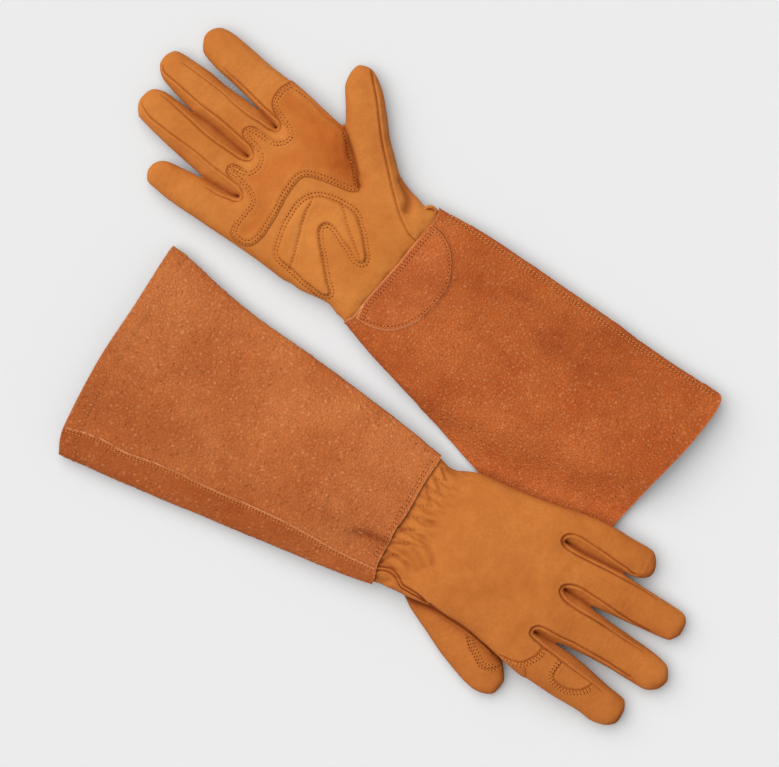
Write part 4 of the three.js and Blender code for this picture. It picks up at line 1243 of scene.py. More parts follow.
def left_hand():
    gaps = ["l_gap_" + k for k in ("little", "ring", "middle")]
    flat, quads, depth = pillow("l_outline", gaps, reach=11.2, high=12.0)
    x, y, z = flat.T
    top = smooth((z + 1.5) / 4.0)
    axes = {k: line_of("l_axis_" + k, 2.0) for k in DIGITS}
    # the hand rises from the cuff over the thumb, and its fingers droop again
    across = np.clip((y + 122) / 110.0, 0, 1)
    middle = mix(12.0, mix(19.4, 17.0, smooth(across * 1.5)), smooth((x - 50) / 52.0))
    droop = digit_droop(x, y, axes, 82.0)
    middle = mix(middle, 8.6, droop)
    limit, out = room_in_cuff("left", x, y)
    half = fit_half(np.where(z < 0, z * mix(0.80, 0.92, droop), z * 0.97), limit)
    shape = np.stack([x, y, press(middle + half, 1.4, 0.9, 2.2)], 1)

    relief = Relief(x, y, top)
    for k in ("little", "ring", "middle"):
        relief.sew(line_of("l_seam_" + k), 0.85, 0.40, 0.78, fade=(0.3, 45.0, None))
    for k in ("l_side", "l_side2"):
        relief.sew(line_of(k), 1.1, 0.6, 1.0, dark_width=0.6, width=0.65)
    off_middle = 1 - smooth((signed(x, y, line_of("l_seam_middle")) + 1.0) / 1.0)
    for k in ("l_knuckle", "l_index_patch"):
        relief.sew(line_of(k), 0.7, 0.3, 0.6, dark_width=0.42, keep=off_middle)
    relief.tone = 0.05 * fbm(x, y, 32, 302) + 0.035 * fbm(x, y, 9, 306)
    relief.tone -= 0.05 * smooth((-y - 40.0) / 60.0)
    # the fourchettes: a deeper colour, and painted shade darkest in the gap
    for k in ("little", "ring", "middle"):
        within = smooth((signed(x, y, line_of("l_seam_" + k)) - 0.6) / 1.6) * top
        e = distance(x, y, line_of("l_gap_" + k))
        relief.tone -= 0.03 * within + 0.06 * gauss(e, 1.8) * top
        relief.mark(0.10 * within + 0.10 * gauss(e, 1.8) * top)
    left_folds(relief, out)
    relief.lift += 0.5 * fbm(x, y, 18, 12) * top
    relief.lift += 0.16 * fbm(x, y, 6.0, 22) * top
    finger_creases(relief, axes, (22, 50), 41, 0.14)
    relief.lift += 0.5 * fbm(x, y, 15, 62) * (1 - top)
    relief.lift *= smooth((out + 4.0) / 4.5)
    relief.lift *= smooth((depth + 0.5) / 2.0)
    co = displace(shape, quads, relief.lift)
    n = normals_of(co, quads)
    attrs = tints(len(x), seam=np.clip(relief.seam, 0, 1),
                  tone=relief.tone + side_shade(n, top, 0.46))
    fx, fy, fz = flat[quads].mean(1).T
    return SimpleNamespace(co=co, normals=n, quads=quads, label=digit_labels(fx, fy, axes),
                           top=fz > 0, attrs=attrs, patch=np.zeros(len(quads), bool), axes=axes)


# ------------------------------------------------------------------------------ blends
def blend_points(a, b):
    return (*a / 1000, 0), (*b / 1000, 0)


def wrist_blend(side):
    """From the cuff to the hand, over 1 to 19 mm past the wrist."""
    a, b = (np.array(LINES[side[0] + "_wrist"][i]) for i in (0, -1))
    e = (b - a) / np.linalg.norm(b - a)
    onward = np.array([-e[1], e[0]])
    onward *= np.sign(onward[0]) * (-1 if side == "right" else 1)
    middle = (a + b) / 2
    return (side + "_gauntlet", side + "_hand",
            *blend_points(middle + onward * 1.0, middle + onward * 19.0))


BLEND_SPAN = {"right_thumb": (0.5, 24.0), "left_thumb": (1.0, 20.0)}  # along the axis, mm


def digit_blend(side, digit):
    """From the hand to a digit, near its root."""
    line = line_of(f"{side[0]}_axis_{digit}", 2.0)
    t = axis_direction(line)
    start, end = BLEND_SPAN.get(f"{side}_{digit}", (-1.0, 20.0))
    return (side + "_hand", f"{side}_{digit}",
            *blend_points(line[0] + t * start, line[0] + t * end))


WRIST = {side: wrist_blend(side) for side in ("right", "left")}


def build_hand(side, hand):
    """Cuts the hand's skin into its sewn pieces, and attaches each one to its body or bakes it in
    place.
    """
    palm_up = side == "right"
    label, patch = hand.label, hand.patch
    palm, back = hand.top == palm_up, hand.top != palm_up
    pieces = {
        "palm_panel": (label == "hand") & palm & ~(patch & palm),
        "back_panel": (label == "hand") & back,
    }
    if palm_up:
        pieces["palm_patch"] = (label == "hand") & hand.top & patch
    for k in hand.axes:
        pieces[k + "_palm_side"] = (label == k) & palm
        pieces[k + "_back_side"] = (label == k) & back
    made = {}
    for name, keep in pieces.items():
        ob = part_of(f"{side}_{name}_skin", hand.co, hand.quads, keep, hand.normals, hand.attrs,
                     HAND[side])
        digit = name.split("_")[0]
        attach(ob, digit_blend(side, digit) if digit in hand.axes else WRIST[side],
               "patch_leather" if name == "palm_patch" else "hand_leather")
        made[name] = ob
    return made


# ------------------------------------------------------------------------------ left thumb
def left_thumb():
    """The thumb that comes out from under the left hand."""
    flat, quads, depth = pillow("l_thumb", (), reach=9.0, high=9.6)
    x, y, z = flat.T
    t, lat = axis_place(x, y, line_of("l_axis_thumb", 2.0))
    under = smooth((12 - t) / 14.0)  # pressed flatter where it goes under the palm
    height = press(6.6 + z * mix(0.92, 0.72, under), 1.0, 0.7, 2.0)
    top = smooth((z + 1.5) / 4.0)
    relief = Relief(x, y, top)
    relief.sew(line_of("l_thumb_patch"), 0.6, 0.2, 0.6, dark_width=0.45)
    relief.lift += 0.45 * fbm(x, y, 14, 13) * top + creases(x, y, t, lat, (22, 48), 55, 0.12) * top
    relief.lift *= smooth((depth + 0.5) / 2.0)
    co = displace(np.stack([x, y, height], 1), quads, relief.lift)
    n = normals_of(co, quads)
    # painted shade: the whole thumb lies under the hand and is darkened
    tone = 0.05 * fbm(x, y, 32, 303) - 0.105
    # the hand's border casts a dark line on the thumb
    border = distance(x, y, closed_ring(ring_of("l_outline")))
    tone -= 0.42 * gauss(border, 3.2) * top
    relief.mark(0.75 * gauss(border, 1.8) * top)
    # painted shade along the fold and along the hand's border
    fold = distance(x, y, line_of("l_thumb_fold"))
    relief.mark(0.55 * gauss(fold, 1.6) * top)
    tone -= 0.20 * gauss(fold, 3.6) * top
    relief.mark(0.16 * (smooth((10.0 - np.abs(border)) / 6.0) * smooth((t - 18.0) / 10.0)) * top)
    tone += side_shade(n, top, 0.40)
    attrs = tints(len(x), seam=np.clip(relief.seam, 0, 1), tone=tone)
    upper = flat[quads].mean(1)[:, 2] > 0
    made = []
    for name, keep in (("back_side", upper), ("palm_side", ~upper)):
        ob = part_of(f"left_thumb_{name}_skin", co, quads, keep, n, attrs, HAND["left"])
        attach(ob, digit_blend("left", "thumb"), "hand_leather")
        made.append(ob)
    return made, co, quads


# ------------------------------------------------------------------------------ gauntlets
CUFF_ROWS, CUFF_AROUND = 260, 420  # points from wrist to hem, and around
CUFF_WALL = 1.6  # leather thickness, mm
HEM_WIDTH = 12.4


def fraction(line, t):
    run = run_length(line)
    t = np.clip(t, 0, 1) * run[-1]
    return np.stack([np.interp(t, run, line[:, 0]), np.interp(t, run, line[:, 1])], -1)


def cuff_plan(key):
    """The cuff's plan as a Coons patch: s from wrist to hem, v from low to high border."""
    low, high, wrist, hem = (
        line_of(f"{key}_cuff_{k}", 1.0, 0.4) for k in ("low", "high", "wrist", "hem"))

    def plan(s, v):
        s_, v_ = s[..., None], v[..., None]
        sides = ((1 - v_) * fraction(low, s) + v_ * fraction(high, s)
                 + (1 - s_) * fraction(wrist, v) + s_ * fraction(hem, v))
        return sides - ((1 - s_) * ((1 - v_) * low[0] + v_ * high[0])
                        + s_ * ((1 - v_) * low[-1] + v_ * high[-1]))

    return plan


def power(c):
    """A coordinate of a superellipse of power 2.4, from a cosine or sine."""
    return np.sign(c) * np.abs(c) ** (2 / 2.4)


def cuff_section(side, s, v):
    """Half height, middle height, and where the left glove presses the right cuff flat."""
    right = side == "right"
    if right:
        pressed = smooth(((s - 0.6) / 0.4 - v / 0.28 + 1.0) / 0.8)
    else:
        pressed = np.zeros_like(s)
    half = mix(mix(8.9, 9.5, smooth(s / 0.5)), 3.1, pressed)
    middle = mix(10.8 if right else 12.0, 9.0, smooth((s - 0.2) / 0.35))
    return half, mix(middle, 3.1, pressed), pressed


def cuff_skin(side, s, angle, wall):
    plan = cuff_plan(side[0])
    low, high = plan(s, np.zeros_like(s)), plan(s, np.ones_like(s))
    wide = np.linalg.norm(low - high, axis=-1)
    v = 0.5 + 0.5 * power(np.cos(angle)) * (1 - 2 * wall / wide)
    p = plan(s, v)
    half, middle, pressed = cuff_section(side, s, v)
    z = middle + (half - wall) * power(np.sin(angle))
    x, y = p[..., 0], p[..., 1]
    # slow waves of a limp cuff, mostly on the upper face
    wave = (1.1 * fbm(x, y, 60, 71 if side == "right" else 81, 2) * np.abs(np.sin(angle))
            * (1 - pressed) * smooth(s / 0.1))
    z = z + np.where(np.sin(angle) > 0, wave, 0.35 * wave)
    return np.stack([x, y, np.maximum(z, wall + 0.15)], -1)


def moon_outline():
    return np.concatenate([line_of("r_moon_chord"), line_of("r_moon_arc")[1:-1]])


def right_grain(relief):
    x, y = relief.x, relief.y
    gap, _ = cells(x + 1.2 * noise(x, y, 9, 3), y + 1.2 * noise(x, y, 9, 4), 2.5, 5)
    pebble = smooth(gap / 0.45)
    relief.lift += 0.14 * pebble + 0.16 * fbm(x, y, 3.2, 6, 2)
    relief.lift += 0.45 * fbm(x, y, 26, 7)
    # painted shade in the gaps between the pebbles
    relief.seam += 0.12 * (1 - pebble)


def left_grain(relief):
    x, y = relief.x, relief.y
    amp = 0.6 + 0.4 * fbm(x, y, 60, 15, 2)
    gap, value = cells(x * 0.85 + 1.4 * noise(x, y, 8, 13), y + 1.4 * noise(x, y, 8, 14), 2.5, 15)
    pebble = smooth(gap / 0.5)
    relief.lift += (0.40 * pebble * (0.3 + 1.0 * value) + 0.22 * fbm(x, y, 3.0, 16, 2)) * amp
    relief.lift += 0.6 * fbm(x * 0.8, y, 22, 17)
    # painted shade in the gaps between the pebbles
    relief.seam += 0.30 * (1 - pebble) * amp


def right_trim(relief, s, angle):
    """The seam along the high border and the half moon patch at the wrist."""
    x, y, up = relief.x, relief.y, relief.top
    e = distance(x, y, line_of("r_cuff_seam"))
    relief.lift -= 0.45 * gauss(e, 0.8) * up
    relief.mark(0.3 * gauss(e, 0.9) * up)
    border = distance(x, y, line_of("r_cuff_high"))
    relief.lift += 0.5 * smooth((5.4 - border) / 1.5) * up
    moon_in = signed(x, y, moon_outline())
    relief.patch = smooth((moon_in + 0.35) / 0.7) * up
    relief.lift = mix(relief.lift, 0.95 + 0.25 * fbm(x, y, 20, 91), relief.patch)
    relief.lift -= 0.3 * gauss(moon_in - 2.4, 0.5) * up
    relief.seam = mix(relief.seam, 0.0, relief.patch)
    relief.mark(0.40 * gauss(moon_in + 0.50, 0.4) * up)
    raw = (0.30 + 0.55 * smooth((50.0 - y) / 14.0)) * gauss(moon_in - 0.10, 0.5) * up
    relief.edge = np.maximum(relief.edge, raw)
    outward = s * 0.6 + 0.4 * (0.5 - 0.5 * power(np.cos(angle)))
    c, n = math.cos(0.35), math.sin(0.35)
    streaks = fbm((c * x + n * y) * 0.35, -n * x + c * y, 26, 97)
    # painted light: the cuff is lighter toward its hem and its low border
    relief.tone += 0.14 * smooth((outward - 0.55) / 0.4)
    relief.tone -= 0.14 * smooth(streaks * 1.6)


def left_trim(relief, s, angle):
    """The lapped strip on the thumb side and the dent where the cuff buckles by the wrist, with
    painted shade beside the strip's edge and in the dent, and painted light and shade across the
    cuff.
    """
    x, y, up = relief.x, relief.y, relief.top
    side = signed_side(x, y, line_of("l_lap"))
    strip = smooth((-side + 0.3) / 0.6) * up  # lies on top
    relief.lift += 1.0 * strip * np.exp(np.minimum(0, side) / 14.0)
    relief.patch = strip * 0.70
    # painted shade beside the strip's edge
    relief.seam = np.maximum(relief.seam * (1 - 0.2 * strip), 0.55 * gauss(side - 0.7, 0.5) * up)
    relief.edge = np.maximum(relief.edge, 0.80 * gauss(side + 0.10, 0.30) * up)
    for row in (1.2, 2.6):
        relief.lift -= 0.18 * gauss(side + row, 0.5) * up
    dent = line_of("l_dent")
    e, run = distance_run(x, y, dent)
    ends = smooth((run + 1.0) / 14.0) * smooth((run_length(dent)[-1] - run + 2.0) / 4.0)
    relief.lift -= 1.6 * gauss(e, 3.0) * ends * up
    # painted shade in the dent
    relief.mark(0.55 * gauss(e, 1.8) * ends * up)
    v = 0.5 + 0.5 * power(np.cos(angle))
    # painted shade in a band toward the low border, painted light past the middle
    relief.tone -= 0.12 * up * gauss(v - 0.27, 0.13)
    relief.tone += 0.05 * up * smooth((v - 0.5) / 0.3)
    # painted shade round the dent
    relief.tone -= 0.26 * gauss(e, 4.2) * ends * up
    relief.tone -= 0.12 * strip


def gauntlet(side):
    right = side == "right"
    key = side[0]
    count = CUFF_ROWS * CUFF_AROUND
    s = np.linspace(0, 1, CUFF_ROWS)[:, None] + np.zeros((1, CUFF_AROUND))
    # spread the angles so that points are even across the flat faces
    q = np.linspace(0, 2 * np.pi, 4001)
    u, w = power(np.cos(q)) * 70, power(np.sin(q)) * 9
    arc = np.concatenate([[0], np.cumsum(np.hypot(np.diff(u), np.diff(w)))])
    angle = (np.interp(np.arange(CUFF_AROUND) / CUFF_AROUND * arc[-1], arc, q)[None, :]
             + np.zeros((CUFF_ROWS, 1)))
    shape = cuff_skin(side, s, angle, 0.0)
    x, y = shape[..., 0], shape[..., 1]
    up = smooth((power(np.sin(angle)) + 0.05) / 0.25)
    relief = Relief(x, y, up)
    (right_grain if right else left_grain)(relief)
    # turned hem: a raised double layer with a stitch row at its inner edge
    hem = distance(x, y, line_of(key + "_cuff_hem"))
    relief.lift += 0.45 * smooth((HEM_WIDTH + 0.6 - hem) / 1.6)
    relief.lift -= 0.30 * gauss(hem - HEM_WIDTH + 0.3, 0.9)
    relief.mark(0.14 * gauss(hem - HEM_WIDTH + 0.4, 0.9))
    # cut edge of the wrist end
    wrist = distance(x, y, line_of(key + "_cuff_wrist"))
    relief.lift += 0.35 * gauss(wrist, 2.4)
    # the pale cut edge fades out toward the high border, where it lies in shade: painted shade
    shown = 1 - 0.85 * smooth((y - 80.0) / 14.0) if right else 0.30
    cut = smooth(((1.00 if right else 0.95) - wrist) / 0.5) * shown
    relief.edge = np.maximum(np.maximum(relief.edge, cut), 0.25 * smooth((0.8 - hem) / 0.6))
    relief.tone = 0.08 * fbm(x, y, 38, 93 if right else 94) + 0.05 * fbm(x, y, 9, 95, 2)
    (right_trim if right else left_trim)(relief, s, angle)
    relief.lift *= 1 - 0.85 * smooth((3.2 - shape[..., 2]) / 2.0) * (1 - up)

    index = np.arange(count).reshape(CUFF_ROWS, CUFF_AROUND)
    nxt = np.roll(index, -1, 1)
    quads = np.stack([index[:-1], index[1:], nxt[1:], nxt[:-1]], -1).reshape(-1, 4)
    co = shape.reshape(-1, 3)
    n = normals_of(co, quads)
    if (n[:, 2] * np.sign(co[:, 2] - 9.0)).sum() < 0:
        quads = quads[:, ::-1]
        n = -n
    co = co + n * relief.lift.reshape(-1)[:, None]
    co[:, 2] = np.maximum(co[:, 2], 0.12)
    n = normals_of(co, quads)
    # inner skin and the two end rims
    lining = cuff_skin(side, s, angle, CUFF_WALL).reshape(-1, 3)
    lining[:, 2] = np.maximum(lining[:, 2], 1.0)
    every = np.concatenate([co, lining])

    def rim(row, want):
        """Quads across the wall at one end, facing along x as wanted."""
        a, b = index[row], nxt[row]
        r = np.stack([a, b, b + count, a + count], -1)
        p = every[r]
        facing = np.cross(p[:, 2] - p[:, 0], p[:, 3] - p[:, 1])
        return r if (facing[:, 0] * want).sum() > 0 else r[:, ::-1]

    hem_x = 1.0 if right else -1.0
    faces = np.concatenate([quads, quads[:, ::-1] + count, rim(0, -hem_x), rim(-1, hem_x)])
    plain = np.zeros(count)
    attrs = {
        "seam": np.concatenate([np.clip(relief.seam, 0, 1).ravel(), plain]),
        "edge": np.concatenate([np.clip(relief.edge, 0, 1).ravel(), plain + 0.2]),
        "patch": np.concatenate([relief.patch.ravel(), plain]),
        # the inner skin is darkened: painted shade inside the cuff
        "tone": np.concatenate([relief.tone.ravel(), plain - 0.3]),
    }
    return SimpleNamespace(
        co=every, normals=np.concatenate([n, -n]), faces=faces, attrs=attrs, quads=quads,
        outer=co, angle=np.concatenate([angle.ravel(), angle.ravel()]))


def build_gauntlet(side, cuff):
    faces = cuff.faces
    angle = cuff.angle[faces[:, 0]] % (2 * np.pi)
    moon = np.zeros(len(faces), bool)
    if side == "right":  # the back is underneath, with its lap near the high border
        back = (angle > np.pi) & (angle < 2 * np.pi - 0.74)
        moon = cuff.attrs["patch"][faces].mean(1) > 0.5
        moon[len(cuff.quads):] = False
    else:
        middle = cuff.co[faces].mean(1)
        back = (angle < np.pi) & (signed_side(middle[:, 0], middle[:, 1], line_of("l_lap")) > 0)
    pieces = [("gauntlet_back", back & ~moon, CUFF[side], "gauntlet_leather"),
              ("gauntlet_palm", ~back & ~moon, CUFF[side], "gauntlet_leather")]
    if side == "right":
        pieces.append(("half_moon_patch", moon, MOON, "half_moon_leather"))
    made = {}
    for name, keep, material, slot in pieces:
        made[name] = part_of(f"{side}_{name}_skin", cuff.co, faces, keep, cuff.normals,
                             cuff.attrs, material)
        attach(made[name], side + "_gauntlet", slot)
    return made


# ------------------------------------------------------------------------------ skins
hands = {"right": right_hand()}
hand_parts = {"right": build_hand("right", hands["right"])}
hands["left"] = left_hand()
hand_parts["left"] = build_hand("left", hands["left"])
thumb_parts, thumb_co, thumb_quads = left_thumb()
cuffs, cuff_parts = {}, {}
for side in ("right", "left"):
    cuffs[side] = gauntlet(side)
    cuff_parts[side] = build_gauntlet(side, cuffs[side])


def surface_tree(co_mm, quads):
    return BVHTree.FromPolygons([tuple(c) for c in co_mm], [tuple(map(int, q)) for q in quads])


ON_HAND = {k: surface_tree(h.co, h.quads) for k, h in hands.items()}
ON_CUFF = {k: surface_tree(c.outer, c.quads) for k, c in cuffs.items()}
ON_THUMB = surface_tree(thumb_co, thumb_quads)


def drop(tree, x, y):
    """Place and normal where a point dropped from above meets the surface, or None."""
    hit = tree.ray_cast(Vector((x, y, 80.0)), Vector((0, 0, -1.0)))
    return hit[0], hit[1]


# ------------------------------------------------------------------------------ stitches
CAPSULE_FACES = np.concatenate(
    [tube_quads(5, 6), [[0, 5, 4, 3], [0, 3, 2, 1], [24, 25, 26, 27], [24, 27, 28, 29]]])
HOLE_CAPS = np.array([[0, 1, 2, 3], [0, 3, 4, 7], [4, 5, 6, 7]])
HOLE_FACES = np.concatenate(
    [tube_quads(3, 8), np.stack([HOLE_CAPS + 16, HOLE_CAPS[:, ::-1]], 1).reshape(-1, 4)])
# rings of a stitch: place along it, share of the thickness, height in mm
CAPSULE_RINGS = ((0.0, 0.30, -0.12), (0.16, 0.85, 0.05), (0.5, 1.0, 0.16), (0.84, 0.85, 0.05),
                 (1.0, 0.30, -0.12))
STITCH_LIFT = 0.06


def circle(sides):
    """Cosines and sines round a circle, as columns."""
    angle = np.arange(sides) / sides * 2 * np.pi
    return np.cos(angle)[:, None], np.sin(angle)[:, None]


def capsule(start, middle, end, side, up, thick):
    cos, sin = circle(6)
    rings = []
    for t, share, height in CAPSULE_RINGS:
        rise = up * (height + STITCH_LIFT)
        centre = start + (end - start) * t + rise
        if t == 0.5:
            centre = 0.5 * centre + 0.5 * (middle + rise)
        rings.append(centre + (cos * side + sin * up * 0.8) * thick * share)
    return np.concatenate(rings)


def needle_hole(centre, along, side, up, radius):
    cos, sin = circle(8)
    return np.concatenate([
        centre + (cos * along + sin * side) * radius * 0.6 - up * 0.35,
        centre + (cos * along * 1.15 + sin * side * 0.95) * radius + up * 0.05,
        centre + (cos * along * 0.7 + sin * side * 0.6) * radius + up * 0.12,
    ])


def stitches(name, where, rows, tree, material=THREAD_HAND, pitch=2.4, length=1.5, thick=0.30,
             hole=0.48, slot="hand_leather"):
    """Thread capsules along the rows, laid on the surface, with a needle hole at the
    start of each, painted dark as shade in the hole."""
    parts, dark = [], []
    for row in rows:
        run = run_length(row)
        jumps = run[1:][np.linalg.norm(np.diff(row, axis=0), axis=1) > 2.5]
        at = lambda t: (np.interp(t, run, row[:, 0]), np.interp(t, run, row[:, 1]))
        count = int(run[-1] / pitch)
        if count < 1:
            continue
        for i in range(count + 1):
            m = (i + 0.5) * pitch
            if m + length / 2 > run[-1]:
                break
            if len(jumps) and np.min(np.abs(jumps - m)) < pitch:
                continue
            hits = [drop(tree, *at(t)) for t in (m - length / 2, m, m + length / 2)]
            if any(place is None for place, _ in hits):
                continue
            start, middle, end = (np.array(place) for place, _ in hits)
            if abs(start[2] - end[2]) > 1.6:
                continue
            normal = np.array(hits[1][1])
            if normal[2] < 0:
                normal = -normal
            along = unit(end - start)
            across = unit(np.cross(normal, along))
            up = np.cross(along, across)
            parts.append((capsule(start, middle, end, across, up, thick), CAPSULE_FACES))
            dark.append(np.zeros(5 * 6))
            centre, _ = drop(tree, *at(m - pitch / 2))
            if centre is None:
                continue
            parts.append((needle_hole(np.array(centre), along, across, up, hole), HOLE_FACES))
            dark.append(np.ones(3 * 8))
    if parts:
        verts, faces = join(parts)
        ob = mesh_object(name, verts, faces, None, {"hole": np.concatenate(dark)}, material)
        attach(ob, where, slot)


def split_rows(rows, keep):
    """Cuts rows to the points that keep allows."""
    out = []
    for row in rows:
        allowed = np.concatenate([[0], keep(row[:, 0], row[:, 1]).astype(int), [0]])
        ends = np.flatnonzero(np.diff(allowed))
        out += [row[a:b] for a, b in zip(ends[::2], ends[1::2]) if b - a > 3]
    return out


def on_digit(side, digit):
    """A test for points that belong to a digit, not to the hand or another digit."""
    axes = hands[side].axes

    def test(x, y):
        e = distance(x, y, axes[digit])
        m = (axis_place(x, y, axes[digit])[0] > -1.0) & (e < 24)
        for other in DIGITS:
            if other != digit:
                t, _ = axis_place(x, y, axes[other])
                m &= ~((t > -1.0) & (distance(x, y, axes[other]) < e))
        return m

    return test


def off_digits(side):
    def test(x, y):
        m = np.ones(np.shape(x), bool)
        for k in DIGITS:
            m &= ~on_digit(side, k)(x, y)
        return m

    return test


def in_border(x, y):
    return signed(x, y, ring_of("r_outline")) > 3.0


def off_gaps(x, y):
    m = np.ones(np.shape(x), bool)
    for k in ("little", "ring", "middle", "thumb"):
        m &= distance(x, y, line_of("r_gap_" + k)) > 2.0
    return m


def beside(line, *offsets):
    return [offset(line, d) for d in offsets]


# right hand: two rows inside the patch's border, and the quilted heel pad
patch_ring = closed_ring(ring_of("r_patch"))
patch_rows = split_rows([inset(patch_ring, d) for d in (1.1, 3.4)],
                        lambda x, y: in_border(x, y) & off_gaps(x, y))
heel_ring = closed_ring(ring_of("r_heel"))
heel_rows = [inset(heel_ring, -1.2), inset(heel_ring, 1.2)]
heel_rows += [line_of("r_heel_a"), line_of("r_heel_b")]
stitches("right_palm_stitches", WRIST["right"],
         split_rows(patch_rows + heel_rows, off_digits("right")), ON_HAND["right"], hole=0.54)
for digit in DIGITS:
    stitches(f"right_{digit}_stitches", digit_blend("right", digit),
             split_rows(patch_rows, on_digit("right", digit)), ON_HAND["right"], hole=0.52)

# left hand: the index finger's knuckle seam and patch, the wrist zigzag, the thumb's patch
index_rows = beside(line_of("l_knuckle"), 1.2, 3.0) + beside(line_of("l_index_patch"), -1.2, -3.0)
index_rows = split_rows(index_rows, lambda x, y: signed(x, y, line_of("l_seam_middle")) < -0.6)
stitches("left_index_stitches", digit_blend("left", "index"),
         split_rows(index_rows, on_digit("left", "index")), ON_HAND["left"])
stitches("left_hand_stitches", WRIST["left"], split_rows(index_rows, off_digits("left")),
         ON_HAND["left"])
corners = np.array(LINES["l_zigzag"])
rungs = [np.linspace(corners[i], corners[i + 1], 12) for i in range(0, len(corners) - 1, 2)]
stitches("left_wrist_stitches", WRIST["left"], rungs, ON_HAND["left"], pitch=2.8, length=1.6,
         thick=0.22, hole=0.34)
thumb_root = line_of("l_axis_thumb", 2.0)[0]
stitches("left_thumb_stitches",
         ("left_hand", "left_thumb",
          *blend_points(thumb_root, thumb_root + np.array([18.0, -7.0]))),
         beside(line_of("l_thumb_patch"), 1.0, -1.0, 3.0), ON_THUMB)

# cuffs
moon_rows = split_rows(
    beside(line_of("r_moon_arc"), -2.5, 2.5)
    + beside(line_of("r_moon_chord"), -2.6, -4.4, 2.6, 4.4),
    lambda x, y: signed(x, y, moon_outline()) > 0.6)
for name, side, rows, material, pitch, length, thick, hole in (
    ("right_gauntlet", "right", beside(line_of("r_cuff_seam"), 0.9, -0.9),
     THREAD_PALE, 2.7, 1.7, 0.30, 0.42),
    ("right_hem", "right", [line_of("r_hem_stitch")], THREAD_LOW, 2.7, 1.9, 0.26, 0.36),
    ("right_half_moon", "right", moon_rows, THREAD_LOW, 2.5, 1.4, 0.28, 0.50),
    ("left_gauntlet", "left", beside(line_of("l_lap"), -1.3, -2.8),
     THREAD_PALE, 2.4, 1.4, 0.24, 0.32),
    ("left_cuff_edge", "left", beside(line_of("l_wrist_stitch"), 0.9, -0.9),
     THREAD_LOW, 2.9, 1.8, 0.26, 0.46),
    ("left_hem", "left", [line_of("l_hem_stitch")], THREAD_PALE, 2.9, 1.8, 0.20, 0.24),
):
    stitches(name + "_stitches", side + "_gauntlet", rows, ON_CUFF[side], material, pitch,
             length, thick, hole, "gauntlet_leather")

# ------------------------------------------------------------------------------ strips in gaps
STRIP_SIDES = 12
STRIP_CAP = np.array(
    [[0, 1, 2, 3], [0, 3, 4, 11], [4, 5, 10, 11], [5, 6, 9, 10], [6, 7, 8, 9]])


def strip(name, line, z, wide, thick, where, material, seam, tone=0.0,
          slot="fourchette_leather", ridge=False):
    """A flat tapered tube along a line. ridge adds a thin dark line along its top, where two
    fourchettes meet."""
    run = run_length(line)
    t = np.gradient(line, axis=0)
    t /= np.linalg.norm(t, axis=1)[:, None]
    side = np.stack([-t[:, 1], t[:, 0]], 1)
    cos, sin = (c[:, 0] for c in circle(STRIP_SIDES))
    taper = smooth((run + 0.3) / 4.0) * smooth((run[-1] - run + 0.3) / 3.0)
    width = wide * (0.25 + 0.75 * taper)
    n = len(line)
    co = np.zeros((n, STRIP_SIDES, 3))
    co[:, :, :2] = line[:, None, :] + side[:, None, :] * (cos[None, :, None] * width[:, None, None])
    co[:, :, 2] = z[:, None] + sin[None, :] * thick * (0.3 + 0.7 * taper[:, None])
    seams = np.repeat(np.zeros(n) + seam, STRIP_SIDES)
    tones = np.full(n * STRIP_SIDES, float(tone))
    if ridge:
        co[:, 3, 2] -= 1.35 * taper
        seams[3::STRIP_SIDES] = np.maximum(seams[3::STRIP_SIDES], 1.0)
        tones[3::STRIP_SIDES] -= 0.35
    quads = np.concatenate([tube_quads(n, STRIP_SIDES), STRIP_CAP[:, ::-1],
                            STRIP_CAP + (n - 1) * STRIP_SIDES])
    co = co.reshape(-1, 3)
    ob = mesh_object(name, co, quads, None, tints(len(co), seam=seams, tone=tones), material)
    attach(ob, where, slot)


def gap_line(line, before, after, tree, reach, default):
    """A gap's line lengthened at both ends and smoothed, with the lower of the heights at
    reach to either side of it."""
    first, last = unit(line[0] - line[3]), unit(line[-1] - line[-4])
    line = np.concatenate([[line[0] + first * d for d in before], line,
                           [line[-1] + last * d for d in after]])
    line = np.stack([moving_mean(line[:, i], 5) for i in (0, 1)], 1)
    tangents = unit_rows(np.gradient(line, axis=0))
    z = []
    for p, t in zip(line, tangents):
        hits = [drop(tree, p[0] - t[1] * s * reach, p[1] + t[0] * s * reach)[0] for s in (-1, 1)]
        heights = [h[2] for h in hits if h is not None]
        z.append(min(heights) if heights else default)
    return line, moving_mean(z, 9)


# side, digit, height where nothing lies beside the gap, mm
for side, digit, default in (
    ("right", "little", 13.5), ("right", "ring", 13.5), ("right", "middle", 13.0),
    ("left", "little", 18.0), ("left", "ring", 18.0), ("left", "middle", 18.0),
):
    line = line_of(f"{side[0]}_gap_{digit}")
    tip = hands[side].axes[digit][-1]
    if np.linalg.norm(line[0] - tip) < np.linalg.norm(line[-1] - tip):
        line = line[::-1]
    line, z = gap_line(line, (1.2,), (1.0, 2.0), ON_HAND[side], 2.6, default)
    place = np.arange(len(line)) / (len(line) - 1)
    near_root = np.exp(-place * len(line) * 0.8 / 3.5)
    # the strip darkens toward the gap's root: painted shade deep in the crotch
    strip(f"{side}_{digit}_gap_fold", line, z - 3.9 - 4.6 * near_root, 2.9, 2.0,
          digit_blend(side, digit), HAND[side], seam=0.08 + 0.85 * near_root, ridge=True)
line, z = gap_line(line_of("r_gap_thumb"), (1.4, 0.7), (0.7, 1.4), ON_HAND["right"], 2.2, 14.0)
strip("right_thumb_gap_fold", line, z - 3.1, 2.6, 2.0, digit_blend("right", "thumb"),
      HAND["right"], seam=0.08, ridge=True)


# ------------------------------------------------------------------------------ wrist curl
CURL_Z = 14.0
CURL_SIDES = 10
CURL_TILT = 1.6 * np.array([-0.5446, 0.8387])  # rise over a unit step outward, mm


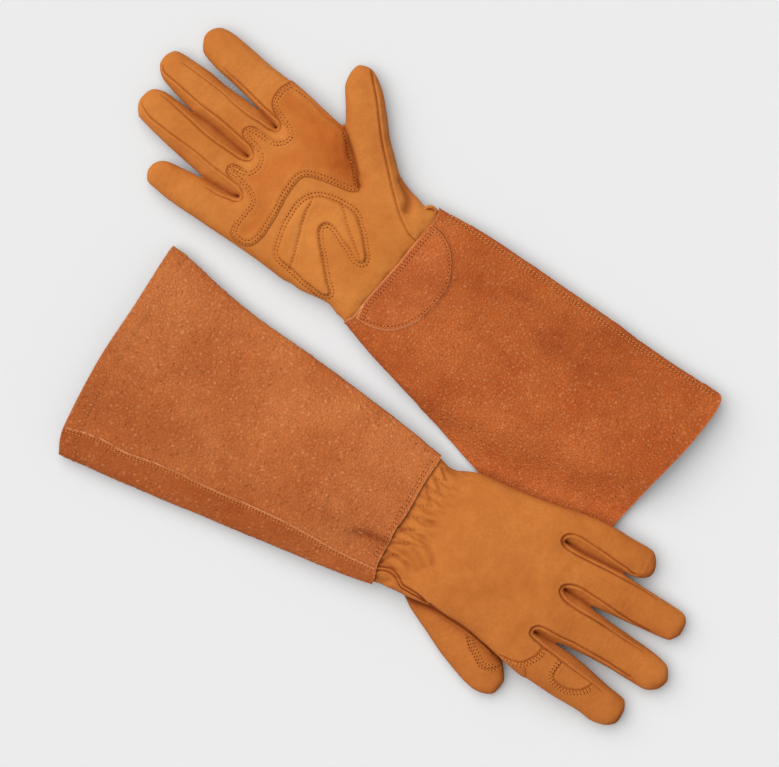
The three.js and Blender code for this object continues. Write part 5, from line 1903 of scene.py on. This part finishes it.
def wrist_curl():
    """The wrist binding's curled end beside the thumb, darker on its inner side, and a dark disc
    inside it: painted shade in the curl's hollow.
    """
    ring = ring_of("r_curl", 0.6)
    ring = ring[: len(ring) // 2 * 2]
    n = len(ring)
    centre = ring.mean(0)
    radius = np.linalg.norm(ring - centre, axis=1)
    out = (ring - centre) / radius[:, None]
    cos, sin = circle(CURL_SIDES)
    rows = [np.column_stack([ring + out * c * 1.45, CURL_Z + out @ CURL_TILT + s * 2.6])
            for c, s in zip(cos[:, 0], sin[:, 0])]
    tube = np.stack(rows, 1).reshape(-1, 3)
    faces = tube_quads(n, CURL_SIDES, closed=True)
    if (normals_of(tube, faces)[:, 2] * (tube[:, 2] - CURL_Z)).sum() < 0:
        faces = faces[:, ::-1]
    share = np.linalg.norm(tube[:, :2] - centre, axis=1) / radius.repeat(CURL_SIDES)
    # painted shade on the curl's inner side
    inner = smooth((1.0 - share) / 0.3)
    curl = mesh_object("right_wrist_curl", tube, faces, None,
                       tints(len(tube), seam=0.6 * inner, tone=-0.10 * inner), HAND["right"])
    attach(curl, WRIST["right"], "hand_leather")

    rim = centre + (ring - centre) * 0.9
    disc = np.concatenate([np.column_stack([rim, np.full(n, 12.0)]),
                           np.column_stack([rim, np.full(n, 10.8)]),
                           [[*centre, 11.6], [*centre, 10.4]]])
    faces = [(n + i, n + (i + 1) % n, (i + 1) % n, i) for i in range(n)]
    for i in range(0, n, 2):
        faces.append((2 * n, i, i + 1, (i + 2) % n))
        faces.append((2 * n + 1, n + (i + 2) % n, n + i + 1, n + i))
    hollow = mesh_object("right_wrist_curl_shade_disc", disc, faces, None,
                         tints(len(disc), seam=0.85, tone=-0.3), HAND["right"])
    attach(hollow, WRIST["right"], "hand_leather")


wrist_curl()


# ------------------------------------------------------------------------------ seam cords
CORD_CAP_START = np.array([[3, 2, 1, 0], [0, 5, 4, 3]])
CORD_CAP_END = np.array([[0, 1, 2, 3], [3, 4, 5, 0]])


def surface_runs(line, tree):
    """The stretches of a line that lie on the surface without a jump, as (place, normal)."""
    runs, current = [], []
    for p in line:
        place, normal = drop(tree, p[0], p[1])
        found = None
        if place is not None and abs(normal[2]) >= 0.12:
            found = (np.array(place), np.array(normal) * (1 if normal[2] > 0 else -1))
        if found is None or (current and abs(found[0][2] - current[-1][0][2]) > 1.8):
            runs.append(current)
            current = [] if found is None else [found]
        else:
            current.append(found)
    runs.append(current)
    return [run for run in runs if len(run) > 4]


def cords(name, lines, tree, radius, where, material, sink=0.08, seam=1.0, tone=0.0,
          slot="hand_leather"):
    """The dark line of a closed seam: a fine cord laid along its groove."""
    parts = []
    cos, sin = (c[:, 0] for c in circle(6))
    for line in lines:
        for run in surface_runs(line, tree):
            centre = np.array([place for place, _ in run])
            up = np.array([normal for _, normal in run])
            across = unit_rows(np.cross(up, unit_rows(np.gradient(centre, axis=0))))
            m = len(run)
            i = np.arange(m)
            taper = np.minimum(1, np.minimum(i + 0.6, m - i - 0.4) / 5.0)
            thick = (radius * taper)[:, None]
            rings = [centre - up * sink + (across * c + up * s) * thick
                     for c, s in zip(cos, sin)]
            faces = [tube_quads(m, 6), CORD_CAP_START, CORD_CAP_END + (m - 1) * 6]
            parts.append((np.stack(rings, 1).reshape(-1, 3), np.concatenate(faces)))
    if parts:
        verts, faces = join(parts)
        ob = mesh_object(name, verts, faces, None, tints(len(verts), seam=seam, tone=tone),
                         material)
        attach(ob, where, slot)


right_lines = [line_of("r_seam_" + k, 0.6) for k in ("ring", "little", "middle", "middle_tip")]
left_lines = [line_of("l_seam_" + k, 0.6) for k in ("little", "ring", "middle")]
knuckle_line = line_of("l_knuckle", 0.6)
fine_patch_ring = closed_ring(ring_of("r_patch", 0.6))
tip_rows = split_rows(
    [inset(fine_patch_ring, -0.15)],
    lambda x, y: (near_tips(x, y) < 3.2) & (signed(x, y, ring_of("r_outline")) > 0.8))
# dark cords at the patch's lobe tips: painted shade along the raised patch's edge
PATCH_EDGE_SHADE = dict(sink=0.05, tone=-0.2)

cords("right_hand_patch_edge_shade_line", split_rows(tip_rows, off_digits("right")),
      ON_HAND["right"], 0.42, WRIST["right"], HAND["right"], **PATCH_EDGE_SHADE)
for digit in DIGITS:
    on_right, on_left = on_digit("right", digit), on_digit("left", digit)
    blend = digit_blend("right", digit)
    cords(f"right_{digit}_seam_line", split_rows(right_lines, on_right), ON_HAND["right"],
          0.30, blend, HAND["right"], seam=0.9)
    cords(f"right_{digit}_patch_edge_shade_line", split_rows(tip_rows, on_right), ON_HAND["right"],
          0.42, blend, HAND["right"], **PATCH_EDGE_SHADE)
    extra = [knuckle_line, line_of("l_index_patch", 0.6)] if digit == "index" else []
    cords(f"left_{digit}_seam_line", split_rows(left_lines + extra, on_left), ON_HAND["left"],
          0.30, digit_blend("left", digit), HAND["left"], seam=0.9)
thumb_lines = [line_of("r_seam_thumb", 0.6)]
cords("right_thumb_seam_line", split_rows(thumb_lines, in_thumb), ON_HAND["right"], 0.32,
      digit_blend("right", "thumb"), HAND["right"])
long_edge_rows = split_rows(
    [inset(fine_patch_ring, -0.2)],
    lambda x, y: (off_digits("right")(x, y) & in_border(x, y) & off_gaps(x, y)
                  & (distance(x, y, LONG_EDGE) < 16)))
cords("right_hand_seam_line",
      split_rows(thumb_lines, lambda x, y: ~in_thumb(x, y))
      + split_rows(right_lines, off_digits("right")) + long_edge_rows,
      ON_HAND["right"], 0.32, WRIST["right"], HAND["right"], seam=0.95)
cords("left_hand_seam_line", split_rows(left_lines + [knuckle_line], off_digits("left")),
      ON_HAND["left"], 0.30, WRIST["left"], HAND["left"], seam=0.9)
cords("left_side_seam_line", [line_of("l_side", 0.6), line_of("l_side2", 0.6)],
      ON_HAND["left"], 0.50, WRIST["left"], HAND["left"], sink=0.05, tone=-0.35)
cords("right_half_moon_edge_line",
      split_rows([offset(line_of("r_moon_arc", 0.6), -0.6)], lambda x, y: y > 42),
      ON_CUFF["right"], 0.28, "right_gauntlet", MOON, sink=0.05, seam=0.95, tone=-0.1,
      slot="gauntlet_leather")


# ------------------------------------------------------------------------------ left welt
def on_surface(line, tree, lift, default):
    """Smoothed surface heights under a line; default is used where there is no surface."""
    hits = [drop(tree, p[0], p[1])[0] for p in line]
    return moving_mean([default if h is None else h[2] for h in hits], 7) + lift


# the welt under the back's border, and its tab at the index finger
line = line_of("l_welt", 0.9)
strip("left_side_welt", line, on_surface(line, ON_THUMB, -0.2, 11.0), 1.3, 1.3,
      digit_blend("left", "thumb"), HAND["left"], seam=0.22, tone=-0.16, slot="hand_leather")
line = line_of("l_tab", 0.6)
middle_root = hands["left"].axes["middle"][0]
if np.linalg.norm(line[0] - middle_root) >= np.linalg.norm(line[-1] - middle_root):
    line = line[::-1]
z = np.maximum(on_surface(line, ON_HAND["left"], 0.1, 6.0), 5.0)
strip("left_index_welt_tab", line, z, 0.75, 1.5, digit_blend("left", "index"), HAND["left"],
      seam=0.12, tone=-0.05, slot="hand_leather")

# ------------------------------------------------------------------------------ replaced solids
# skin piece: the CAD solids that it also stands for
BACK_EXTRAS = {
    "index": ("index_fourchette", "index_back_patch"),
    "middle": ("middle_fourchette_outer", "middle_fourchette_inner"),
    "ring": ("ring_fourchette_outer", "ring_fourchette_inner"),
    "little": ("little_fourchette",),
}


def replaces(ob, side, *nodes):
    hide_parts(*(f"{side}_{node}" for node in nodes))


for side in ("right", "left"):
    hand, cuff = hand_parts[side], cuff_parts[side]
    replaces(hand["palm_panel"], side, "palm_panel", "heel_pad", "wrist_elastic")
    replaces(hand["back_panel"], side, "back_panel")
    replaces(hand.get("palm_patch", hand["palm_panel"]), side, "palm_patch")
    for k in DIGITS:
        replaces(hand[k + "_palm_side"], side, k + "_front")
        replaces(hand[k + "_back_side"], side, k + "_back")
    for k, nodes in BACK_EXTRAS.items():
        replaces(hand[k + "_back_side"], side, *nodes)
    replaces(cuff["gauntlet_back"], side, "gauntlet_back", "hem_facing_back", "wrist_binding")
    replaces(cuff["gauntlet_palm"], side, "gauntlet_palm", "hem_facing_palm")
    replaces(cuff.get("half_moon_patch", cuff["gauntlet_palm"]), side, "half_moon_patch")
replaces(hand_parts["right"]["thumb_palm_side"], "right", "thumb_front")
replaces(hand_parts["right"]["thumb_back_side"], "right", "thumb_back")
replaces(thumb_parts[0], "left", "thumb_back")
replaces(thumb_parts[1], "left", "thumb_front")


# ------------------------------------------------------------------------------ stage
FLOOR_HALF = 4000  # mm
WORLD_LIGHT, WORLD_SEEN = 0.27, 0.83  # strength as light, and as the camera sees it
CAMERA_TURN = math.radians(33)
VIEW_WIDTH = 0.5375  # m across the picture at the camera's aim height
VIEW_CENTRE = (-9.35 / 1000, -6.21 / 1000)
AIM_HEIGHT = 0.010
LENS, SENSOR = 230.0, 36.0

floor_shader = Shader("floor", textured=False)
floor_shader.surface(Base_Color=(0.775, 0.775, 0.775, 1), Roughness=0.9, Specular_IOR_Level=0.1)
floor_corners = FLOOR_HALF * np.array([[-1, -1, 0], [1, -1, 0], [1, 1, 0], [-1, 1, 0]], float)
floor = mesh_object("floor", floor_corners, [[0, 1, 2, 3]], material=floor_shader.material,
                    shade_smooth=False)


def build_world():
    """Even white light; the sweep behind the floor is brighter to the camera only."""
    world = bpy.data.worlds.new("studio")
    bpy.context.scene.world = world
    world.use_nodes = True
    tree = world.node_tree
    background = tree.nodes["Background"]
    path = tree.nodes.new("ShaderNodeLightPath")
    strength = tree.nodes.new("ShaderNodeMix")
    strength.data_type = "FLOAT"
    tree.links.new(path.outputs["Is Camera Ray"], strength.inputs[0])
    strength.inputs[2].default_value = WORLD_LIGHT
    strength.inputs[3].default_value = WORLD_SEEN
    tree.links.new(strength.outputs[0], background.inputs[1])
    background.inputs[0].default_value = (1.0, 1.0, 1.0, 1)


build_world()
view_right = Vector((math.cos(CAMERA_TURN), math.sin(CAMERA_TURN), 0))
view_up = Vector((-math.sin(CAMERA_TURN), math.cos(CAMERA_TURN), 0))


def sun(name, right, up, toward_camera, strength, size):
    """A sun placed by directions in the view; size is its angle in degrees."""
    light = bpy.data.lights.new(name, "SUN")
    light.energy = strength
    light.angle = math.radians(size)
    ob = bpy.data.objects.new(name, light)
    bpy.context.scene.collection.objects.link(ob)
    ob.rotation_mode = "QUATERNION"
    toward = view_right * right + view_up * up + Vector((0, 0, toward_camera))
    ob.rotation_quaternion = toward.to_track_quat("Z", "Y")


sun("key", right=-0.50, up=0.42, toward_camera=1.10, strength=2.55, size=80)
sun("fill", right=-0.1, up=-0.3, toward_camera=1.0, strength=0.38, size=60)

lens = bpy.data.cameras.new("camera")
lens.sensor_width = SENSOR
lens.lens = LENS
lens.clip_start, lens.clip_end = 0.1, 20
camera = bpy.data.objects.new("camera", lens)
bpy.context.scene.collection.objects.link(camera)
camera.matrix_world = Matrix((
    (view_right.x, view_up.x, 0, VIEW_CENTRE[0]),
    (view_right.y, view_up.y, 0, VIEW_CENTRE[1]),
    (0, 0, 1, VIEW_WIDTH * LENS / SENSOR + AIM_HEIGHT),
    (0, 0, 0, 1),
))
bpy.context.scene.camera = camera
bpy.context.scene.view_settings.view_transform = "Standard"
